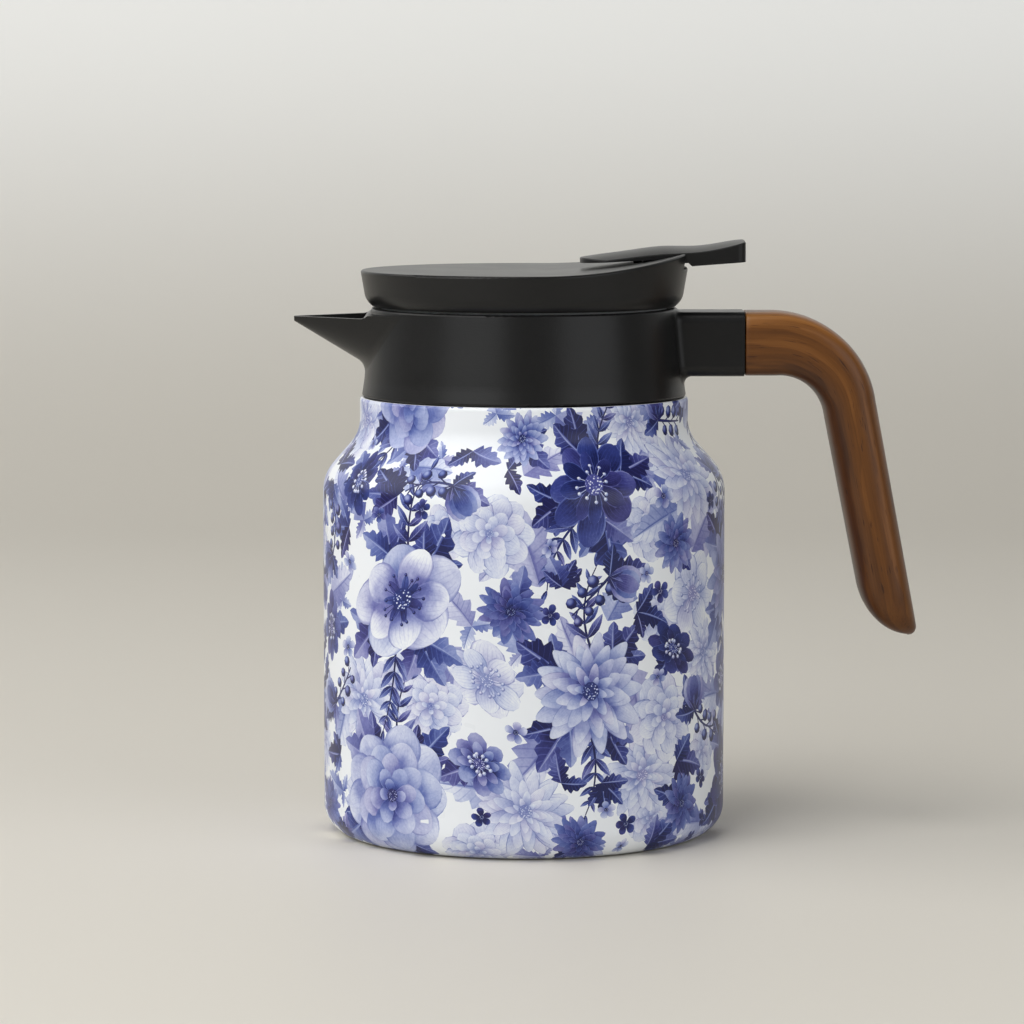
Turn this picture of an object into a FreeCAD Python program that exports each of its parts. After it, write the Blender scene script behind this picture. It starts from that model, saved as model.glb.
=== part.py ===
"""Vacuum jug: a steel flask with a spout collar, a bent wooden handle and a screw-in stopper lid whose thumb
lever opens a pour valve. Millimetres. Z is up, the origin is the centre of the foot, the handle points to +X
and the spout to -X."""
import FreeCAD
import Part
import Sketcher

import math
import os
import re

from FreeCAD import Placement, Rotation, Vector

FLASK_SIZES = {
    "body_radius": 57.0,        # outside of the straight wall
    "body_height": 102.0,       # foot to the corner where the shoulder starts
    "shoulder_rise": 12.0,      # height of the sloping shoulder, corner to corner
    "shoulder_round": 12.0,
    "neck_round": 10.0,
    "neck_height": 10.3,        # visible neck, from the shoulder's corner to the collar's ledge
    "neck_ledge": 5.0,          # width of the ledge that carries the collar
    "ledge_round": 1.2,
    "tube_height": 10.2,        # neck tube inside the collar
    "mouth_radius": 38.0,       # clear bore of the mouth
    "neck_gap": 2.4,            # vacuum space in the neck
    "vacuum_gap": 4.0,          # vacuum space in the body
    "shell_wall": 0.6,
    "liner_wall": 0.5,
    "foot_corner": 8.0,
    "foot_inset": 11.0,         # straight wall to the recess under the foot
    "foot_lip": 3.4,            # height of the lip that the base cap is welded to
    "foot_edge": 1.0,
    "liner_floor": 8.0,         # underside of the liner above the table
    "liner_corner": 10.0,
    "liner_shoulder_drop": 3.0,  # liner's shoulder below the shell's
    "snap_level": 4.7,          # snap groove above the ledge
    "snap_width": 1.4,
    "snap_depth": 0.8,
    "cap_recess": 1.8,
    "cap_wall": 0.6,
    "cap_fit": 0.02,
    "dimple_radius": 7.0,
    "dimple_rise": 1.6,
    "evacuation_radius": 1.2,
    "bead_radius": 2.6,
    "bead_drop": 1.0,
    "bead_fit": 0.05,
    "getter_radius": 6.0,
    "getter_thickness": 2.0,
    "getter_offset": 20.0,
}
COLLAR_SIZES = {
    "collar_height": 25.0,
    "collar_fit": 0.15,
    "collar_foot_inset": 0.5,   # neck to the collar's lower edge
    "collar_waist_rise": 4.7,
    "collar_waist_inset": 0.7,
    "collar_waist_round": 30.0,
    "collar_top_wall": 2.4,
    "collar_edge": 0.7,
    "seat_gap": 0.3,
    "gasket_width": 2.5,
    "gasket_thickness": 1.2,
    "ring_wall": 2.9,
    "ring_fit": 0.1,
    "ring_drop": 0.3,           # mouth ring below the collar's top
    "ring_window_half": 16.5,
    "ring_window_sill": 1.6,
    "spout_reach": 21.7,        # collar's top edge to the tip
    "spout_drop": 2.4,          # spout's rim below the collar's top
    "spout_step": 0.9,          # top of the spout's root below the collar's top
    "spout_lip_inset": 0.4,     # cut along the rim into the collar's top edge
    "spout_lip_round": 3.0,     # curve from the rim up to the collar
    "spout_inset": 1.0,         # line of the spout's sides inside the collar's round
    "spout_root_round": 4.0,    # curve from the collar's wall into the spout
    "spout_slope": 0.6,         # fall of the underside for each millimetre along
    "spout_tip_half": 1.7,
    "spout_tip_depth": 1.6,
    "spout_nose": 1.4,          # solid end of the tip
    "spout_root_wall": 2.4,
    "channel_slope": 0.34,
    "channel_tip_half": 0.7,
    "channel_tip_depth": 0.6,
    "rim_trim": 0.2,            # what the cut along the rim takes off the spout's tip
    "arm_reach": 18.7,          # collar's top edge to the wooden grip
    "arm_drop": 0.9,
    "arm_height": 18.2,
    "arm_width": 20.0,
    "arm_round": 3.0,
    "arm_root_round": 2.5,
    "tenon_length": 6.0,
    "tenon_width": 11.0,
    "tenon_height": 10.0,
    "tenon_round": 1.5,
    "tenon_fit": 0.15,
    "overcut": 1.0,             # how far a cut runs past the face that it opens
}
HANDLE_SIZES = {
    "grip_run": 8.65,           # straight stretch before the bend
    "grip_bend": 21.65,         # radius of the middle line
    "grip_lean": 11.0,          # degrees by which the grip leans out
    "grip_length": 68.0,        # end of the bend to the tail
    "grip_thickness": 15.0,     # at the end of the bend
    "grip_tail_thickness": 14.3,
    "grip_width": 21.0,
    "grip_tail_length": 17.7,   # stretch over which the inner side sweeps to the tip
    "grip_tail_round": 2.5,
    "grip_tip_thickness": 0.8,
    "grip_arm_fullness": 5.0,   # boxiness of the section at the arm: 2 is an ellipse
    "grip_fullness": 2.8,       # and in the hand
    "grip_seam": 0.3,           # shadow gap between the arm and the wood
    "screw_radius": 2.0,
    "screw_fit": 0.2,
    "screw_length": 32.0,
    "screw_head_radius": 3.4,
    "screw_head_height": 2.4,
    "screw_recess": 3.4,
    "washer_radius": 4.2,
    "washer_thickness": 0.8,
    "insert_radius": 3.2,
    "insert_length": 12.0,
    "insert_fit": 0.05,
}
LID_SIZES = {
    "lid_seam": 0.6,            # shadow gap between the collar and the lid
    "lid_height": 10.1,         # to the flat front of the top
    "lid_foot_inset": 0.4,
    "lid_bevel_out": 1.9,
    "lid_bevel_up": 1.8,
    "lid_belt_round": 5.0,
    "lid_flare": 1.4,
    "lid_edge": 0.6,
    "lid_wall": 2.2,
    "swoop_start": 5.0,         # where the top starts to curve up, behind the axis
    "swoop_rise": 5.8,
    "flange_inset": 2.2,        # lid's lower edge to the stopper's flange
    "flange_fit": 0.2,
    "flange_seat": 0.8,
    "flange_thickness": 1.6,
    "flange_rise": 0.1,
    "plug_gap": 1.4,            # mouth to the stopper's wall
    "plug_wall": 1.8,
    "plug_reach": 25.5,
    "deck_drop": 3.4,
    "deck_thickness": 1.8,
    "guide_length": 5.7,
    "guide_wall": 2.0,
    "plug_window_half": 15.0,
    "plug_window_height": 7.0,
    "plug_window_gap": 1.2,
    "base_thickness": 2.0,
    "base_step": 0.6,           # floor's edge outside the stopper's wall
    "base_spigot": 3.5,
    "base_spigot_wall": 1.9,
    "base_fit": 0.1,
    "seat_radius": 9.0,
    "plug_gasket_height": 3.0,
    "plug_gasket_fit": 0.1,
    "rib_height": 1.0,
    "rib_reach": 0.7,
    "rim_seal_thickness": 0.95,
    "rim_seal_width": 2.0,
    "lug_count": 3.0,
    "lug_level": 6.9,           # lug's middle below the lid's lower edge
    "lug_height": 2.4,
    "lug_reach": 2.6,
    "lug_half_angle": 7.0,
    "thread_lead": 20.0,
    "track_gap": 0.4,
    "boss_inset": 7.8,          # stopper's bore to the boss's axis
    "boss_angle": 60.0,         # degrees from the handle
    "boss_radius": 3.2,
    "pilot_radius": 1.1,
    "pilot_depth": 7.0,
    "lid_screw_radius": 1.05,
    "lid_screw_hole": 1.3,
    "lid_screw_head": 2.3,
    "lid_screw_head_height": 1.5,
    "lid_screw_grip": 6.0,
}
VALVE_SIZES = {
    "stem_radius": 2.5,
    "stem_fit": 0.1,
    "stem_neck": 3.0,
    "head_radius": 11.0,
    "head_thickness": 1.5,
    "disc_radius": 11.5,
    "disc_thickness": 2.0,
    "disc_fit": 0.05,
    "retainer_radius": 5.0,
    "retainer_thickness": 1.2,
    "stem_seal_radius": 4.5,
    "stem_seal_height": 1.2,
    "spring_radius": 7.0,
    "spring_wire": 1.0,
    "clip_radius": 4.0,
    "clip_thickness": 1.0,
    "clip_groove": 0.6,
    "clip_play": 0.15,
    "clip_mouth": 3.2,
    "stem_end": 0.65,
}
LEVER_SIZES = {
    "pivot_inset": 9.3,         # lid's rim to the pin
    "pivot_drop": 2.5,          # pin below the lid's top
    "pin_radius": 1.5,
    "pin_fit": 0.05,
    "pin_half_length": 10.0,
    "ear_end_wall": 0.5,
    "ear_drop": 3.7,
    "ear_ahead": 4.5,
    "ear_behind": 4.5,
    "slot_gap": 0.4,
    "slot_ahead": 6.0,
    "slot_behind": 4.2,
    "slot_drop": 4.9,
    "notch_gap": 0.6,
    "notch_ahead": 3.5,
    "notch_rise": 0.8,
    "lever_half": 11.6,
    "lever_nose": 21.2,         # pin to the nose
    "lever_nose_sag": 7.2,      # how far the rounded nose stands forward
    "lever_overhang": 16.0,     # lid's rim to the thumb end
    "lever_corner": 2.5,
    "lever_edge": 0.4,
    "fore_place": 0.19,         # places along the lever, from the nose at 0 to the tail at 1
    "middle_place": 0.38,
    "ridge_place": 0.51,
    "dip_place": 0.65,
    "thumb_place": 0.82,
    "nose_edge": 2.3,           # heights of the top's side edges above the lid's top
    "fore_edge": 3.15,
    "middle_edge": 4.2,
    "ridge_edge": 4.75,
    "dip_edge": 5.05,
    "thumb_edge": 6.05,
    "tail_edge": 8.1,
    "nose_crown": 3.5,          # heights of the top's middle line above the lid's top
    "fore_crown": 4.85,
    "middle_crown": 6.1,
    "ridge_crown": 6.72,
    "dip_crown": 6.7,
    "thumb_crown": 7.4,
    "tail_crown": 8.5,
    "nose_under": 2.0,          # heights of the underside above the lid's top
    "knee_under": 3.65,
    "shelf_under": 2.3,
    "skirt_under": 1.4,
    "tail_under": 2.6,
    "knee_ahead": 1.8,          # distances from the lid's rim
    "shelf_ahead": 0.2,
    "skirt_behind": 0.8,
    "tail_hollow": 0.6,         # depth of the hollow in the thumb end
    "cheek_inner": 3.3,
    "cheek_outer": 6.6,
    "cheek_sink": 0.5,          # how far the cheeks run up into the plate
    "hub_radius": 3.5,
    "hub_round": 3.2,
    "fork_half": 6.5,
    "fork_fit": 0.2,
    "fork_rise": 0.7,
    "fork_thickness": 2.0,
    "fork_tip": 5.0,
    "fork_slot_fit": 0.3,
    "fork_slot_depth": 3.8,
    "fork_knee": 17.0,
    "fork_lift": 20.0,
    "fork_crown": 0.5,
    "fork_round": 2.0,
}

doc = FreeCAD.newDocument("VacuumJug")
sheet = doc.addObject("Spreadsheet::Sheet", "Sizes")
names = set()
for group in (FLASK_SIZES, COLLAR_SIZES, HANDLE_SIZES, LID_SIZES, VALVE_SIZES, LEVER_SIZES):
    for alias, value in group.items():
        names.add(alias)
        row = len(names)
        sheet.set(f"A{row}", alias)
        sheet.set(f"B{row}", str(value))
        sheet.setAlias(f"B{row}", alias)
doc.recompute()

# Levels and radii that several pieces share, as expressions in the sheet's names.
TUBE_RADIUS = "(mouth_radius + liner_wall + neck_gap + shell_wall)"
NECK_RADIUS = f"({TUBE_RADIUS} + neck_ledge)"
RECESS_RADIUS = "(body_radius - foot_inset)"
LINER_RADIUS = "(body_radius - shell_wall - vacuum_gap)"
SHOULDER_TOP = "(body_height + shoulder_rise)"
LEDGE = f"({SHOULDER_TOP} + neck_height)"
TUBE_TOP = f"({LEDGE} + tube_height)"
FLASK_RIM = f"({TUBE_TOP} + liner_wall)"
RING_FOOT = f"({FLASK_RIM} + gasket_thickness)"
RING_RADIUS = "(mouth_radius + ring_wall)"
LOWER_BORE = f"({TUBE_RADIUS} + collar_fit)"
UPPER_BORE = f"({RING_RADIUS} + ring_fit)"
COLLAR_TOP = f"({LEDGE} + collar_height)"
COLLAR_FOOT_RADIUS = f"({NECK_RADIUS} - collar_foot_inset)"
COLLAR_WAIST_RADIUS = f"({COLLAR_FOOT_RADIUS} - collar_waist_inset)"
COLLAR_TOP_RADIUS = f"({UPPER_BORE} + collar_top_wall)"
ARM_END = f"({COLLAR_TOP_RADIUS} + arm_reach)"
ARM_AXIS = f"({COLLAR_TOP} - arm_drop - arm_height / 2)"
SCREW_SEAT = f"({UPPER_BORE} + screw_recess)"
LID_FOOT = f"({COLLAR_TOP} + lid_seam)"
LID_TOP = f"({LID_FOOT} + lid_height)"
LID_FOOT_RADIUS = f"({COLLAR_TOP_RADIUS} - lid_foot_inset)"
LID_BELT_RADIUS = f"({LID_FOOT_RADIUS} + lid_bevel_out)"
LID_RIM = f"({LID_BELT_RADIUS} + lid_flare)"
CEILING = f"({LID_TOP} - lid_wall)"
FLANGE_RADIUS = f"({LID_FOOT_RADIUS} - flange_inset)"
FLANGE_FOOT = f"({LID_FOOT} + flange_rise)"
FLANGE_TOP = f"({FLANGE_FOOT} + flange_thickness)"
PLUG_RADIUS = "(mouth_radius - plug_gap)"
PLUG_BORE = f"({PLUG_RADIUS} - plug_wall)"
PLUG_FOOT = f"({FLANGE_FOOT} - plug_reach)"
DECK_TOP = f"({LID_FOOT} - deck_drop)"
DECK_FOOT = f"({DECK_TOP} - deck_thickness)"
LUG_LEVEL = f"({LID_FOOT} - lug_level)"
HEAD_FOOT = f"({PLUG_FOOT} + disc_thickness)"
HEAD_TOP = f"({HEAD_FOOT} + head_thickness)"
FORK_FOOT = f"({DECK_TOP} + fork_rise)"
FORK_TOP = f"({FORK_FOOT} + fork_thickness)"
CLIP_FOOT = f"({FORK_TOP} + clip_play)"
CLIP_TOP = f"({CLIP_FOOT} + clip_thickness)"
PIVOT_X = f"({LID_RIM} - pivot_inset)"
PIVOT_Z = f"({LID_TOP} - pivot_drop)"
SPOUT_RIM = f"({COLLAR_TOP} - spout_drop)"
SPOUT_TIP = f"({COLLAR_TOP_RADIUS} + spout_reach)"
NOTCH_HALF = "(lever_half + notch_gap)"
SLOT_HALF = "(cheek_outer + slot_gap)"
EAR_HALF = "(pin_half_length + ear_end_wall)"
BOSS_RING = f"({PLUG_BORE} - boss_inset)"
MITRE = "tan(22.5)"  # shift of a wall's second face where it turns by 45 degrees


def bound(expression):
    """The expression with each of the sheet's names written as a reference to its cell."""
    return re.sub(r"[a-z_]+", lambda m: "Sizes." + m[0] if m[0] in names else m[0], expression)


def size(expression):
    """The number that an expression in the sheet's names comes to."""
    return float(sheet.evalExpression(bound(expression)))


def bind(thing, **properties):
    """Bind properties to expressions; a double underscore in a name stands for a dot."""
    for name, expression in properties.items():
        thing.setExpression(name.replace("__", "."), bound(expression))


def corner(across, up, rounding=None, arc=None, bulge=1):
    """One corner of an outline. A rounding softens it; an arc is the radius of the edge that leaves it."""
    return {"at": (across, up), "rounding": rounding, "arc": arc, "bulge": bulge}


def new_body(label):
    body = doc.addObject("PartDesign::Body", label)
    body.Label = label
    return body


def new_sketch(body, name, role, offset=None):
    """A sketch on one of the body's own planes, moved along that plane's normal by an expression."""
    sketch = body.newObject("Sketcher::SketchObject", f"{body.Label}_{name}")
    plane = next(feature for feature in body.Origin.OriginFeatures if feature.Role == role)
    sketch.AttachmentSupport = (plane, [""])
    sketch.MapMode = "FlatFace"
    if offset:
        bind(sketch, AttachmentOffset__Base__z=offset)
    return sketch


def arc_through(start, end, radius, bulge):
    """Arc of less than a half circle; with a bulge of 1 it lies to the right of the way from start to end."""
    middle = (start + end) / 2
    chord = end - start
    sagitta = radius - math.sqrt(radius ** 2 - chord.Length ** 2 / 4)
    side = Vector(chord.y, -chord.x, 0).normalize() * bulge
    return Part.Arc(start, middle + side * sagitta, end)


def draw_outline(sketch, corners):
    """Draw a closed outline and tie every corner and radius to its expression."""
    points = [Vector(size(item["at"][0]), size(item["at"][1]), 0) for item in corners]
    count = len(points)
    leave, arrive, arcs = [], [], {}
    for index, item in enumerate(corners):
        here = points[index]
        if item["rounding"] is None:
            leave.append(here)
            arrive.append(here)
            continue
        back = (points[index - 1] - here).normalize()
        ahead = (points[(index + 1) % count] - here).normalize()
        half_turn = back.getAngle(ahead) / 2
        radius = size(item["rounding"])
        run = radius / math.tan(half_turn)
        inward = (back + ahead).normalize()
        nearest = here + inward * (radius / math.sin(half_turn) - radius)
        arrive.append(here + back * run)
        leave.append(here + ahead * run)
        arcs[index] = sketch.addGeometry(Part.Arc(arrive[index], nearest, leave[index]))
    edges = []
    for index, item in enumerate(corners):
        start, end = leave[index], arrive[(index + 1) % count]
        if item["arc"]:
            curve = arc_through(start, end, size(item["arc"]), item["bulge"])
        else:
            curve = Part.LineSegment(start, end)
        edges.append(sketch.addGeometry(curve))

    def end_at(edge, place):
        return 1 if sketch.getPoint(edge, 1).distanceToPoint(place) < 1e-6 else 2

    constraints, ties = [], []

    def tie(constraint, expression):
        ties.append((len(constraints), expression))
        constraints.append(constraint)

    for index, item in enumerate(corners):
        before, after = edges[index - 1], edges[index]
        after_end = end_at(after, leave[index])
        before_end = end_at(before, arrive[index])
        if index in arcs:
            rounding = arcs[index]
            spot = sketch.addGeometry(Part.Point(points[index]), True)
            constraints += [
                Sketcher.Constraint("Tangent", before, before_end, rounding, end_at(rounding, arrive[index])),
                Sketcher.Constraint("Tangent", rounding, end_at(rounding, leave[index]), after, after_end),
                Sketcher.Constraint("PointOnObject", spot, 1, before),
                Sketcher.Constraint("PointOnObject", spot, 1, after)]
            tie(Sketcher.Constraint("Radius", rounding, size(item["rounding"])), item["rounding"])
            marked = (spot, 1)
        else:
            constraints.append(Sketcher.Constraint("Coincident", before, before_end, after, after_end))
            marked = (after, after_end)
        for kind, axis, expression in zip(("DistanceX", "DistanceY"), (-2, -1), item["at"]):
            if expression == "0":
                constraints.append(Sketcher.Constraint("PointOnObject", *marked, axis))
            else:
                tie(Sketcher.Constraint(kind, -1, 1, *marked, size(expression)), expression)
        if item["arc"]:
            tie(Sketcher.Constraint("Radius", after, size(item["arc"])), item["arc"])
    first = sketch.ConstraintCount
    sketch.addConstraint(constraints)
    for index, expression in ties:
        sketch.setExpression(f"Constraints[{first + index}]", bound(expression))


def draw_circle(sketch, across, up, radius):
    """Draw a circle tied to expressions for its centre and radius."""
    place = Vector(size(across), size(up), 0)
    circle = sketch.addGeometry(Part.Circle(place, Vector(0, 0, 1), size(radius)))
    for kind, axis, expression in (("DistanceX", -2, across), ("DistanceY", -1, up)):
        if expression == "0":
            sketch.addConstraint(Sketcher.Constraint("PointOnObject", circle, 3, axis))
        else:
            index = sketch.addConstraint(Sketcher.Constraint(kind, -1, 1, circle, 3, size(expression)))
            sketch.setExpression(f"Constraints[{index}]", bound(expression))
    index = sketch.addConstraint(Sketcher.Constraint("Radius", circle, size(radius)))
    sketch.setExpression(f"Constraints[{index}]", bound(radius))


def box_corners(left, low, right, high, rounding=None):
    """Corners of a rectangle."""
    return [corner(left, low, rounding), corner(right, low, rounding),
            corner(right, high, rounding), corner(left, high, rounding)]


def turned(body, corners, name="outline", kind="PartDesign::Revolution"):
    """Turn an outline of radius and height about Z, as material or as a cut."""
    sketch = new_sketch(body, name, "XZ_Plane")
    draw_outline(sketch, corners)
    turn = body.newObject(kind, f"{body.Label}_{name}_turned")
    turn.Profile = sketch
    turn.ReferenceAxis = (sketch, ["V_Axis"])
    turn.Angle = 360
    return turn


def turned_body(label, corners):
    body = new_body(label)
    turned(body, corners)
    return body


def extruded(body, sketch, kind, length, both_ways=False, other_way=False):
    """Pad or pocket a sketch by an expression, to one side or half to each."""
    feature = body.newObject(f"PartDesign::{kind}", f"{sketch.Name}_{kind.lower()}")
    feature.Profile = sketch
    feature.SideType = "Symmetric" if both_ways else "One side"
    feature.Reversed = other_way
    bind(feature, Length=length)
    return feature


def rounded_edges(body, name, radius, chosen):
    """Round the edges of the body's last feature that the test picks out."""
    doc.recompute()
    base = body.Tip
    picked = [f"Edge{index + 1}" for index, edge in enumerate(base.Shape.Edges) if chosen(edge)]
    fillet = body.newObject("PartDesign::Fillet", f"{body.Label}_{name}")
    fillet.Base = (base, picked)
    bind(fillet, Radius=radius)
    return fillet


def ring_corners(inner, outer, low, high):
    return box_corners(inner, low, outer, high)


# Outer shell: one drawn steel wall from the lip under the foot, up the side and the shoulder, to the neck
# tube with its rolled snap groove. The ledge round the neck carries the collar.
LEAN = f"tan(atan((body_radius - {NECK_RADIUS}) / shoulder_rise) / 2)"
SNAP_LOW = f"({LEDGE} + snap_level - snap_width / 2)"
SNAP_HIGH = f"({LEDGE} + snap_level + snap_width / 2)"
outer_shell = turned_body("outer_shell", [
    corner(RECESS_RADIUS, "foot_lip"),
    corner(RECESS_RADIUS, "0", "foot_edge"),
    corner("body_radius", "0", "foot_corner"),
    corner("body_radius", "body_height", "shoulder_round"),
    corner(NECK_RADIUS, SHOULDER_TOP, "neck_round"),
    corner(NECK_RADIUS, LEDGE, "ledge_round"),
    corner(TUBE_RADIUS, LEDGE),
    corner(TUBE_RADIUS, f"{SNAP_LOW} - snap_depth"),
    corner(f"{TUBE_RADIUS} - snap_depth", SNAP_LOW),
    corner(f"{TUBE_RADIUS} - snap_depth", SNAP_HIGH),
    corner(TUBE_RADIUS, f"{SNAP_HIGH} + snap_depth"),
    corner(TUBE_RADIUS, TUBE_TOP),
    corner(f"{TUBE_RADIUS} - shell_wall", TUBE_TOP),
    corner(f"{TUBE_RADIUS} - shell_wall", f"{SNAP_HIGH} + snap_depth + shell_wall * {MITRE}"),
    corner(f"{TUBE_RADIUS} - shell_wall - snap_depth", f"{SNAP_HIGH} + shell_wall * {MITRE}"),
    corner(f"{TUBE_RADIUS} - shell_wall - snap_depth", f"{SNAP_LOW} - shell_wall * {MITRE}"),
    corner(f"{TUBE_RADIUS} - shell_wall", f"{SNAP_LOW} - snap_depth - shell_wall * {MITRE}"),
    corner(f"{TUBE_RADIUS} - shell_wall", f"{LEDGE} - shell_wall"),
    corner(f"{NECK_RADIUS} - shell_wall", f"{LEDGE} - shell_wall", "ledge_round - shell_wall"),
    corner(f"{NECK_RADIUS} - shell_wall", f"{SHOULDER_TOP} - shell_wall * {LEAN}", "neck_round + shell_wall"),
    corner("body_radius - shell_wall", f"body_height - shell_wall * {LEAN}", "shoulder_round - shell_wall"),
    corner("body_radius - shell_wall", "shell_wall", "foot_corner - shell_wall"),
    corner(f"{RECESS_RADIUS} + shell_wall", "shell_wall", "foot_edge - shell_wall"),
    corner(f"{RECESS_RADIUS} + shell_wall", "foot_lip"),
])

# Base cap: pressed disc inside the foot's lip, with a raised dimple for the evacuation hole.
CAP_RADIUS = f"({RECESS_RADIUS} - cap_fit)"
DIMPLE_FOOT = "(cap_recess + dimple_rise)"
base_cap = turned_body("base_cap", [
    corner("evacuation_radius", DIMPLE_FOOT),
    corner("dimple_radius", DIMPLE_FOOT),
    corner("dimple_radius + dimple_rise", "cap_recess"),
    corner(CAP_RADIUS, "cap_recess", "cap_wall"),
    corner(CAP_RADIUS, "foot_lip"),
    corner(f"{CAP_RADIUS} - cap_wall", "foot_lip"),
    corner(f"{CAP_RADIUS} - cap_wall", "cap_recess + cap_wall"),
    corner(f"dimple_radius + dimple_rise + cap_wall * {MITRE}", "cap_recess + cap_wall"),
    corner(f"dimple_radius + cap_wall * {MITRE}", f"{DIMPLE_FOOT} + cap_wall"),
    corner("evacuation_radius", f"{DIMPLE_FOOT} + cap_wall"),
])

# Seal bead: the drop of braze that closes the evacuation hole.
seal_bead = turned_body("seal_bead", [
    corner("0", f"{DIMPLE_FOOT} - bead_drop"),
    corner("bead_radius - bead_drop", f"{DIMPLE_FOOT} - bead_drop"),
    corner("bead_radius", DIMPLE_FOOT),
    corner("evacuation_radius - bead_fit", DIMPLE_FOOT),
    corner("evacuation_radius - bead_fit", f"{DIMPLE_FOOT} + cap_wall"),
    corner("0", f"{DIMPLE_FOOT} + cap_wall"),
])

# Inner flask: the drawn liner. Its flange is welded on the top edge of the neck tube.
LINER_LOW = "(body_height - liner_shoulder_drop)"
LINER_HIGH = f"({SHOULDER_TOP} - liner_shoulder_drop / 2)"
LINER_NECK = "(mouth_radius + liner_wall)"
LINER_LEAN = f"tan(atan(({LINER_RADIUS} - {LINER_NECK}) / ({LINER_HIGH} - {LINER_LOW})) / 2)"
inner_flask = turned_body("inner_flask", [
    corner("0", "liner_floor"),
    corner(LINER_RADIUS, "liner_floor", "liner_corner"),
    corner(LINER_RADIUS, LINER_LOW, "shoulder_round"),
    corner(LINER_NECK, LINER_HIGH, "neck_round"),
    corner(LINER_NECK, TUBE_TOP),
    corner(TUBE_RADIUS, TUBE_TOP),
    corner(TUBE_RADIUS, FLASK_RIM),
    corner("mouth_radius", FLASK_RIM, "liner_wall"),
    corner("mouth_radius", f"{LINER_HIGH} - liner_wall * {LINER_LEAN}", "neck_round + liner_wall"),
    corner(f"{LINER_RADIUS} - liner_wall", f"{LINER_LOW} - liner_wall * {LINER_LEAN}",
           "shoulder_round - liner_wall"),
    corner(f"{LINER_RADIUS} - liner_wall", "liner_floor + liner_wall", "liner_corner - liner_wall"),
    corner("0", "liner_floor + liner_wall"),
])

# Vacuum getter: a pill fixed under the liner's floor, in the vacuum space.
vacuum_getter = doc.addObject("Part::Cylinder", "vacuum_getter")
bind(vacuum_getter, Radius="getter_radius", Height="getter_thickness", Placement__Base__x="getter_offset",
     Placement__Base__z="liner_floor - getter_thickness")

# Rim gasket: flat ring between the flask's rim and the mouth ring.
rim_gasket = turned_body("rim_gasket", ring_corners(
    f"{RING_RADIUS} - gasket_width", RING_RADIUS, FLASK_RIM, RING_FOOT))

# Spout collar: one moulding with the collar wall, the beak-shaped spout and the arm for the grip. The spout's
# sides run from the tip almost to a tangent of the collar's round, and a curve blends them into its wall. The
# collar's top stays a closed ring above the spout's channel.
spout_collar = new_body("spout_collar")
turned(spout_collar, [
    corner("0", LEDGE),
    corner(COLLAR_FOOT_RADIUS, LEDGE, "collar_edge"),
    corner(COLLAR_WAIST_RADIUS, f"{LEDGE} + collar_waist_rise", "collar_waist_round"),
    corner(COLLAR_TOP_RADIUS, COLLAR_TOP, "collar_edge"),
    corner("0", COLLAR_TOP),
], "wall")
arm_sketch = new_sketch(spout_collar, "arm", "YZ_Plane")
draw_outline(arm_sketch, box_corners(
    "-arm_width / 2", f"{ARM_AXIS} - arm_height / 2", "arm_width / 2", f"{ARM_AXIS} + arm_height / 2",
    "arm_round"))
extruded(spout_collar, arm_sketch, "Pad", ARM_END)
PICK_MARGIN = 0.1  # slack in the tests that pick edges by their place


def arm_root(edge):
    """Edges where the sides and the underside of the arm leave the collar's wall."""
    middle = edge.CenterOfMass
    along_arm = edge.BoundBox.XLength > size("arm_reach / 2")
    on_wall = size(f"{COLLAR_TOP_RADIUS} - arm_width / 4") < middle.x < size(COLLAR_FOOT_RADIUS)
    below_top = edge.BoundBox.ZMax < size(f"{ARM_AXIS} + arm_height / 2 - arm_round") + PICK_MARGIN
    return (on_wall and below_top and not along_arm
            and abs(middle.y) <= size("arm_width / 2") + PICK_MARGIN
            and middle.z > size(f"{ARM_AXIS} - arm_height / 2") - PICK_MARGIN)


rounded_edges(spout_collar, "arm_root", "arm_root_round", arm_root)

SPOUT_COLLAR_RADIUS = f"({COLLAR_TOP_RADIUS} - spout_inset)"
SPOUT_ROOT = f"({SPOUT_COLLAR_RADIUS} ^ 2 / {SPOUT_TIP})"
SPOUT_ROOT_HALF = f"({SPOUT_COLLAR_RADIUS} * sqrt(1 - ({SPOUT_COLLAR_RADIUS} / {SPOUT_TIP}) ^ 2))"
SPOUT_RUN = f"({SPOUT_TIP} - {SPOUT_ROOT})"


def lofted_spout(name, kind, sections):
    """A ruled body between two bowl-shaped sections across the spout, given from the tip to the root."""
    sketches = []
    for index, (place, half, depth, top) in enumerate(sections):
        sketch = new_sketch(spout_collar, f"{name}_{index}", "YZ_Plane", f"-({place})")
        bowl = f"(({half}) ^ 2 + ({depth}) ^ 2) / (2 * ({depth}))"
        draw_outline(sketch, [corner(f"-({half})", top, arc=bowl), corner(half, top)])
        sketches.append(sketch)
    loft = spout_collar.newObject(f"PartDesign::{kind}", f"{spout_collar.Label}_{name}")
    loft.Profile = sketches[0]
    loft.Sections = sketches[1:]
    loft.Ruled = True
    return loft


ROOT_RISE = "(spout_drop - spout_step - rim_trim)"
TIP_TOP = f"({SPOUT_RIM} + rim_trim)"
lofted_spout("spout", "AdditiveLoft", [
    (SPOUT_TIP, "spout_tip_half", "spout_tip_depth", TIP_TOP),
    (SPOUT_ROOT, SPOUT_ROOT_HALF, f"spout_tip_depth + spout_slope * {SPOUT_RUN} + {ROOT_RISE}",
     f"{TIP_TOP} + {ROOT_RISE}"),
])


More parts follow.
